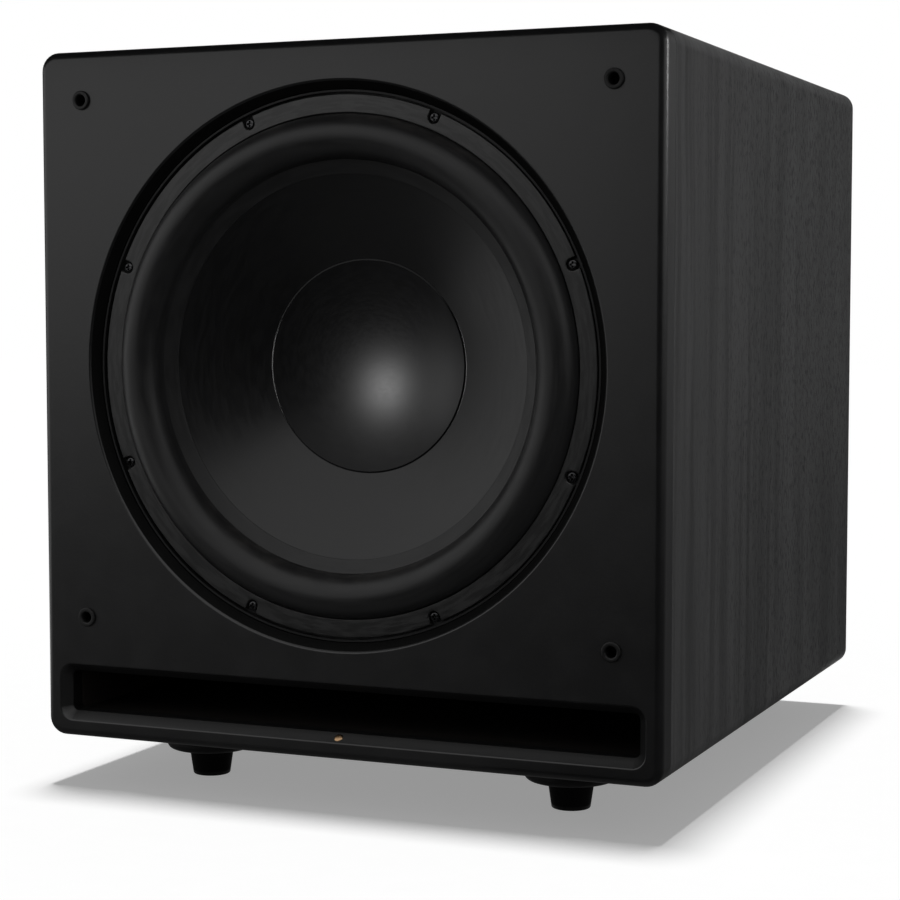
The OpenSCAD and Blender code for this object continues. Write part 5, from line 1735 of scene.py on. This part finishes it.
@dataclass
class Carried:
    """Finishes for the CAD nodes that stay as they are, each with its nodes; the spare one is for hidden nodes."""

    edge: float = 0.25
    soft: tuple[str, ...] = ("fuse_drawer", "mode_slider", "inlet_pins", "back_panel")
    spare: Finish = Finish("spare_black", grey(0.012))
    finishes: dict[Finish, tuple[str, ...]] = field(
        default_factory=lambda: {
            Finish(
                "back_panel_paint", grey(0.012, 0.0122), rough_spread=0.012, grain=900.0, depth=0.00004
            ): ("back_panel",),
            # Near-black board for the port and the inner baffle, far darker than the raw board of the brace.
            Board(
                "stained_board", (0.012, 0.0105, 0.009), rough=0.7, specular=0.3, depth=0.00006
            ): ("inner_baffle", "port_shelf", "port_riser"),
            Board("raw_fibreboard", (0.3, 0.2, 0.12), rough=0.8, specular=0.25, depth=0.00008): ("window_brace",),
            Finish(
                "fibre_wadding",
                grey(0.5, 0.46),
                rough=0.95,
                specular=0.1,
                grain=350.0,
                pits=1.2,
                depth=0.004,
                spread=0.2,
            ): ("acoustic_lining",),
            Finish(
                "closed_cell_foam", grey(0.012), rough=0.85, specular=0.2, grain=900.0, pits=1.0, depth=0.0003
            ): ("woofer_gasket", "amp_gasket"),
            Finish(
                "cast_frame_powder", grey(0.005, 0.0052), specular=0.25, dust=0.02, grain=1400.0, depth=0.00008
            ): ("basket",),
            Turned("bare_aluminium", grey(0.6, 0.61), rough=0.35, metallic=1.0, depth=0.00001): ("coil_former",),
            Turned(
                "enamelled_copper", (0.55, 0.2, 0.07), rough=0.3, metallic=1.0, tight=4000.0, depth=0.0001
            ): ("coil_winding",),
            Turned(
                "motor_steel", grey(0.06, 0.062), rough=0.35, metallic=0.8, depth=0.00001
            ): ("top_plate", "back_plate"),
            Finish("ferrite", grey(0.05, 0.052), rough=0.6, grain=700.0, depth=0.0001): ("magnet_rings",),
            Finish("boot_rubber", grey(0.01), rough=0.6, grain=800.0, depth=0.00004): ("magnet_boot",),
            Finish(
                "moulded_nylon", grey(0.012), rough=0.48, grain=1500.0, depth=0.00002
            ): ("terminal_block", "potentiometers", "fuse_drawer", "mode_slider"),
            Finish("wire_jacket_red", (0.25, 0.02, 0.015), rough=0.4, depth=0.00001): ("speaker_wires",),
            Finish("wire_jacket_black", grey(0.02), rough=0.45, depth=0.00001): ("supply_wires",),
            Metal("cover_aluminium", grey(0.6, 0.61), rough=0.4): ("amp_cover",),
            Board(
                "circuit_board", (0.02, 0.13, 0.05), rough=0.35, fleck=1500.0, depth=0.00003
            ): ("main_board", "input_board"),
            Metal("brass_posts", (0.72, 0.5, 0.2), rough=0.25, depth=0.000006): ("board_standoffs",),
            Finish("component_sleeves", grey(0.02, 0.06), rough=0.35, depth=0.00001): ("board_parts",),
            Finish("component_resin", grey(0.01, 0.011), depth=0.00002): ("power_transistors",),
            Finish("taped_winding", (0.42, 0.22, 0.04), rough=0.35, cloud=60.0, depth=0.0001): ("transformer",),
            Metal("zinc_bolt", grey(0.5, 0.49), rough=0.35): ("transformer_bolt",),
            Metal("nickel_plate", (0.6, 0.59, 0.56), rough=0.25, depth=0.000006): ("inlet_pins", "mode_switch_body"),
            Clear("fuse_glass", (0.85, 0.9, 0.9), rough=0.03, rough_spread=0.02, depth=0.000004): ("fuse",),
        }
    )

    def build(self) -> None:
        """Dresses every CAD node, and softens the edges of the small moulded ones."""
        by_node = {node: finish for finish, nodes in self.finishes.items() for node in nodes}
        for node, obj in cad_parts.items():
            if not obj.material_slots:
                raise ValueError(f"{node} has no material slot")
            for place in obj.material_slots:
                place.link = "OBJECT"
                place.material = by_node.get(node, self.spare).material()
        for node in self.soft:
            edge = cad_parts[node].modifiers.new("soft_edges", "BEVEL")
            edge.width, edge.segments, edge.limit_method = self.edge * MM, 2, "ANGLE"


# ---------------------------------------------------------------- studio


@dataclass(frozen=True)
class Lamp:
    """A square lamp that faces the woofer.

    It hangs at a bearing and an elevation in degrees and a distance in metres, and its level is the light that reaches
    the woofer, as a share of a full white. One with a piece lights only that; the others fill in, unmirrored.
    """

    name: str
    bearing: float
    elevation: float
    distance: float
    size: float
    level: float
    piece: str = ""


def upright(start: Point, end: Point, start_top: float, end_top: float) -> list[Xyz]:
    """Corners of an upright card that stands on the floor, in metres."""
    return [(*start, 0.0), (*end, 0.0), (*end, end_top), (*start, start_top)]


def level_at(height: float, *corners: Point) -> list[Xyz]:
    """Corners of a level card at a height, in metres."""
    return [(x, y, height) for x, y in corners]


@dataclass
class Studio:
    """White floor and surroundings, soft lamps overhead and around, and dark cards; all sizes are in metres."""

    focus: Xyz = (0.0, -0.28, 0.316)
    floor_half: float = 9.0
    floor_shades: Point = (0.84, 0.86)
    floor_sun: float = 2.35
    object_sun: float = 1.4
    sun_tilt: Point = (-2.8, -1.4)
    sun_angle: float = 7.0
    ambient: float = 0.08
    floor_glow: float = 0.3
    lamps: tuple[Lamp, ...] = (
        Lamp("key", -30.0, 8.0, 2.2, 0.55, 1.3, "dished_dust_cap"),
        Lamp("left_strip", -70.0, 6.0, 2.2, 0.9, 0.2, "dished_dust_cap"),
        Lamp("bead_light", -58.0, -5.0, 2.2, 0.7, 1.8, "dust_cap_bead"),
        Lamp("left_fill", -62.0, 30.0, 2.6, 1.6, 0.32),
        Lamp("right_fill", 64.0, 16.0, 2.4, 1.6, 0.47),
        Lamp("back_fill", 170.0, 35.0, 2.6, 1.6, 0.32),
        Lamp("rim_light", 107.0, 23.0, 0.79, 0.14, 0.16, "painted_baffle"),
    )
    card_ring: float = 2.6
    dark: float = 0.005
    grey: float = 0.12
    pale_glow: float = 0.08
    camera_place: Xyz = (0.6674, -1.64795, 0.3652)
    camera_down: float = 4.008
    camera_turn: float = 22.969
    lens: float = 86.79
    sensor: float = 36.0

    def build(self) -> None:
        """Builds the floor, the world, the lamps, the cards and the camera."""
        self.world()
        floor = self.floor()
        others = self.linked("all_but_floor", floor)
        for entry in others.collection_objects:
            entry.light_linking.link_state = "EXCLUDE"
        self.sun("overhead", self.floor_sun, self.linked("floor_only", floor))
        self.sun("overhead_soft", self.object_sun, others)
        for lamp in self.lamps:
            lit = self.linked(f"{lamp.name}_only", bpy.data.objects[lamp.piece]) if lamp.piece else others
            self.hang(lamp, lit)
        self.cards()
        self.camera()

    def linked(self, name: str, obj: bpy.types.Object) -> bpy.types.Collection:
        """A collection with one object, for light linking.

        Args:
            name: Name of the collection.
            obj: The object.

        Returns:
            The collection.
        """
        made = bpy.data.collections.new(name)
        made.objects.link(obj)
        return made

    def world(self) -> None:
        """White to the camera and in reflections, and a faint even light otherwise."""
        world = bpy.data.worlds.new("white_room")
        world.use_nodes = True
        bpy.context.scene.world = world
        graph = Graph(world.node_tree)
        graph.tree.nodes.clear()
        strength = graph.add("MapRange", {"Value": graph.to_eye(), 3: self.ambient, 4: 1.0}).outputs[0]
        light = graph.add("Background", {"Color": (1, 1, 1, 1), "Strength": strength})
        graph.tree.links.new(light.outputs[0], graph.add("OutputWorld").inputs[0])

    def floor(self) -> bpy.types.Object:
        """A white floor that keeps the object's shadow and looks white in reflections too.

        Returns:
            The floor.
        """
        paint = Painter("white_floor")
        colour = paint.blended(paint.noise(paint.place, 40.0), *(rgba(grey(shade)) for shade in self.floor_shades))
        paint.feed({"Base Color": colour, "Roughness": 0.9, "Specular IOR Level": 0.0})
        paint.feed(
            {"Emission Color": (1, 1, 1, 1), "Emission Strength": paint.times(paint.to_eye(), self.floor_glow)}
        )
        return self.sheet("floor", paint.made, [(sx * self.floor_half, sy * self.floor_half, 0) for sx, sy in QUARTERS])

    def sheet(self, name: str, made: bpy.types.Material, corners: Sequence[Xyz]) -> bpy.types.Object:
        """Makes a flat stage object from its corners.

        Args:
            name: Name of the object.
            made: Its material.
            corners: Its corners.

        Returns:
            The object.
        """
        data = bpy.data.meshes.new(name)
        data.from_pydata(corners, [], [tuple(range(len(corners)))])
        data.materials.append(made)
        obj = placed(name, data)
        return obj

    def sun(self, name: str, strength: float, lit: bpy.types.Collection) -> None:
        """Hangs a soft lamp overhead.

        Args:
            name: Name of the lamp.
            strength: Its strength.
            lit: What it lights.
        """
        lamp = bpy.data.lights.new(name, "SUN")
        lamp.energy, lamp.angle = strength, math.radians(self.sun_angle)
        obj = placed(name, lamp)
        obj.visible_glossy = False
        obj.rotation_euler = (*(math.radians(tilt) for tilt in self.sun_tilt), 0.0)
        obj.light_linking.receiver_collection = lit

    def away(self, turn: float, rise: float, distance: float) -> Vector:
        """A point at a bearing left or right of straight ahead, an elevation and a distance from the focus.

        Args:
            turn: The bearing in degrees, right of straight ahead.
            rise: The elevation in degrees.
            distance: The distance in metres.

        Returns:
            The point.
        """
        bearing, level = math.radians(turn), math.radians(rise)
        ahead = Vector((math.sin(bearing) * math.cos(level), -math.cos(bearing) * math.cos(level), math.sin(level)))
        return Vector(self.focus) + ahead * distance

    def hang(self, lamp: Lamp, lit: bpy.types.Collection) -> None:
        """Hangs a square lamp, with the pieces that it lights.

        Args:
            lamp: The lamp's values.
            lit: What it lights.
        """
        light = bpy.data.lights.new(lamp.name, "AREA")
        light.size, light.energy = lamp.size, lamp.level * (math.pi * lamp.distance) ** 2
        obj = placed(lamp.name, light)
        obj.location = self.away(lamp.bearing, lamp.elevation, lamp.distance)
        obj.rotation_euler = (Vector(self.focus) - obj.location).to_track_quat("-Z", "Y").to_euler()
        obj.visible_camera, obj.visible_glossy = False, bool(lamp.piece)
        obj.light_linking.receiver_collection = lit

    def cards(self) -> None:
        """Dark cards that only reflections show: on the floor, in front, and upright at the right and behind."""
        dark, medium = self.card_paint("dark_card", self.dark), self.card_paint("grey_card", self.grey)
        pale = self.card_paint("pale_card", self.dark, self.pale_glow)
        near, middle, far = (self.away(turn, 0, self.card_ring).to_2d() for turn in (-12.0, 62.0, 108.0))
        yard = [(-0.6, -0.31), (-4.5, -5.0), (-4.5, -7.0), (4.5, -7.0), (4.5, 3.0), (0.26, 3.0), (0.26, -0.31)]
        screen = [(-4.5, 0.0), (0.5, 0.0), (0.5, 1.2), (2.0, 1.2), (2.0, 3.2), (-4.5, 3.2)]
        for name, made, corners in (
            ("floor_card", dark, level_at(0.002, *yard)),
            ("under_card", pale, level_at(0.003, (-0.6, -0.31), (-0.6, 0.3), (0.26, 0.3), (0.26, -0.31))),
            ("near_card", medium, level_at(0.004, (-0.6, -0.31), (-0.7, -0.66), (0.0, -0.6), (0.1, -0.31))),
            ("roof_card", dark, level_at(0.56, (-0.35, -0.335), (0.3, -0.335), (0.3, -0.235), (-0.35, -0.235))),
            ("right_card", dark, upright(near, middle, 0.9, 1.9)),
            ("beside_card", dark, upright(middle, far, 0.4, 0.4)),
            ("behind_card", dark, upright((-1.5, -0.2), (-1.5, 3.0), 1.2, 1.2)),
            ("side_card", dark, upright((0.5, 1.5), (4.5, 1.5), 1.0, 1.0)),
            ("rear_card", dark, [(x, 3.2, z) for x, z in screen]),
        ):
            card = self.sheet(name, made, corners)
            card.visible_camera = card.visible_diffuse = card.visible_shadow = card.visible_transmission = False

    def card_paint(self, name: str, level: float, glow: float = 0.0) -> bpy.types.Material:
        """An even matt grey of a given level and glow, with a trace of mottling.

        Args:
            name: Name of the material.
            level: Its grey.
            glow: Strength of its glow.

        Returns:
            The material.
        """
        paint = Painter(name)
        shade = paint.blended(paint.noise(paint.place, 3.0), rgba(grey(level), 0.9), rgba(grey(level), 1.1))
        paint.feed({"Base Color": shade, "Specular IOR Level": 0.0})
        paint.feed({"Emission Color": (1, 1, 1, 1), "Emission Strength": glow})
        return paint.made

    def camera(self) -> None:
        """The camera, a little to the right of the front and slightly above the middle."""
        data = bpy.data.cameras.new("camera")
        data.lens, data.sensor_width = self.lens, self.sensor
        obj = placed("camera", data)
        obj.location = self.camera_place
        obj.rotation_euler = (QUARTER_TURN - math.radians(self.camera_down), 0.0, math.radians(self.camera_turn))
        bpy.context.scene.camera = obj
        bpy.context.scene.view_settings.view_transform = "Standard"


def main() -> None:
    logging.basicConfig(level=logging.INFO, format="%(name)s: %(message)s")
    for assembly in (Carried(), Cabinet(), Feet(), Woofer(), Amplifier(), Studio()):
        LOG.info("building %s", type(assembly).__name__)
        assembly.build()


if __name__ == "__main__":
    main()
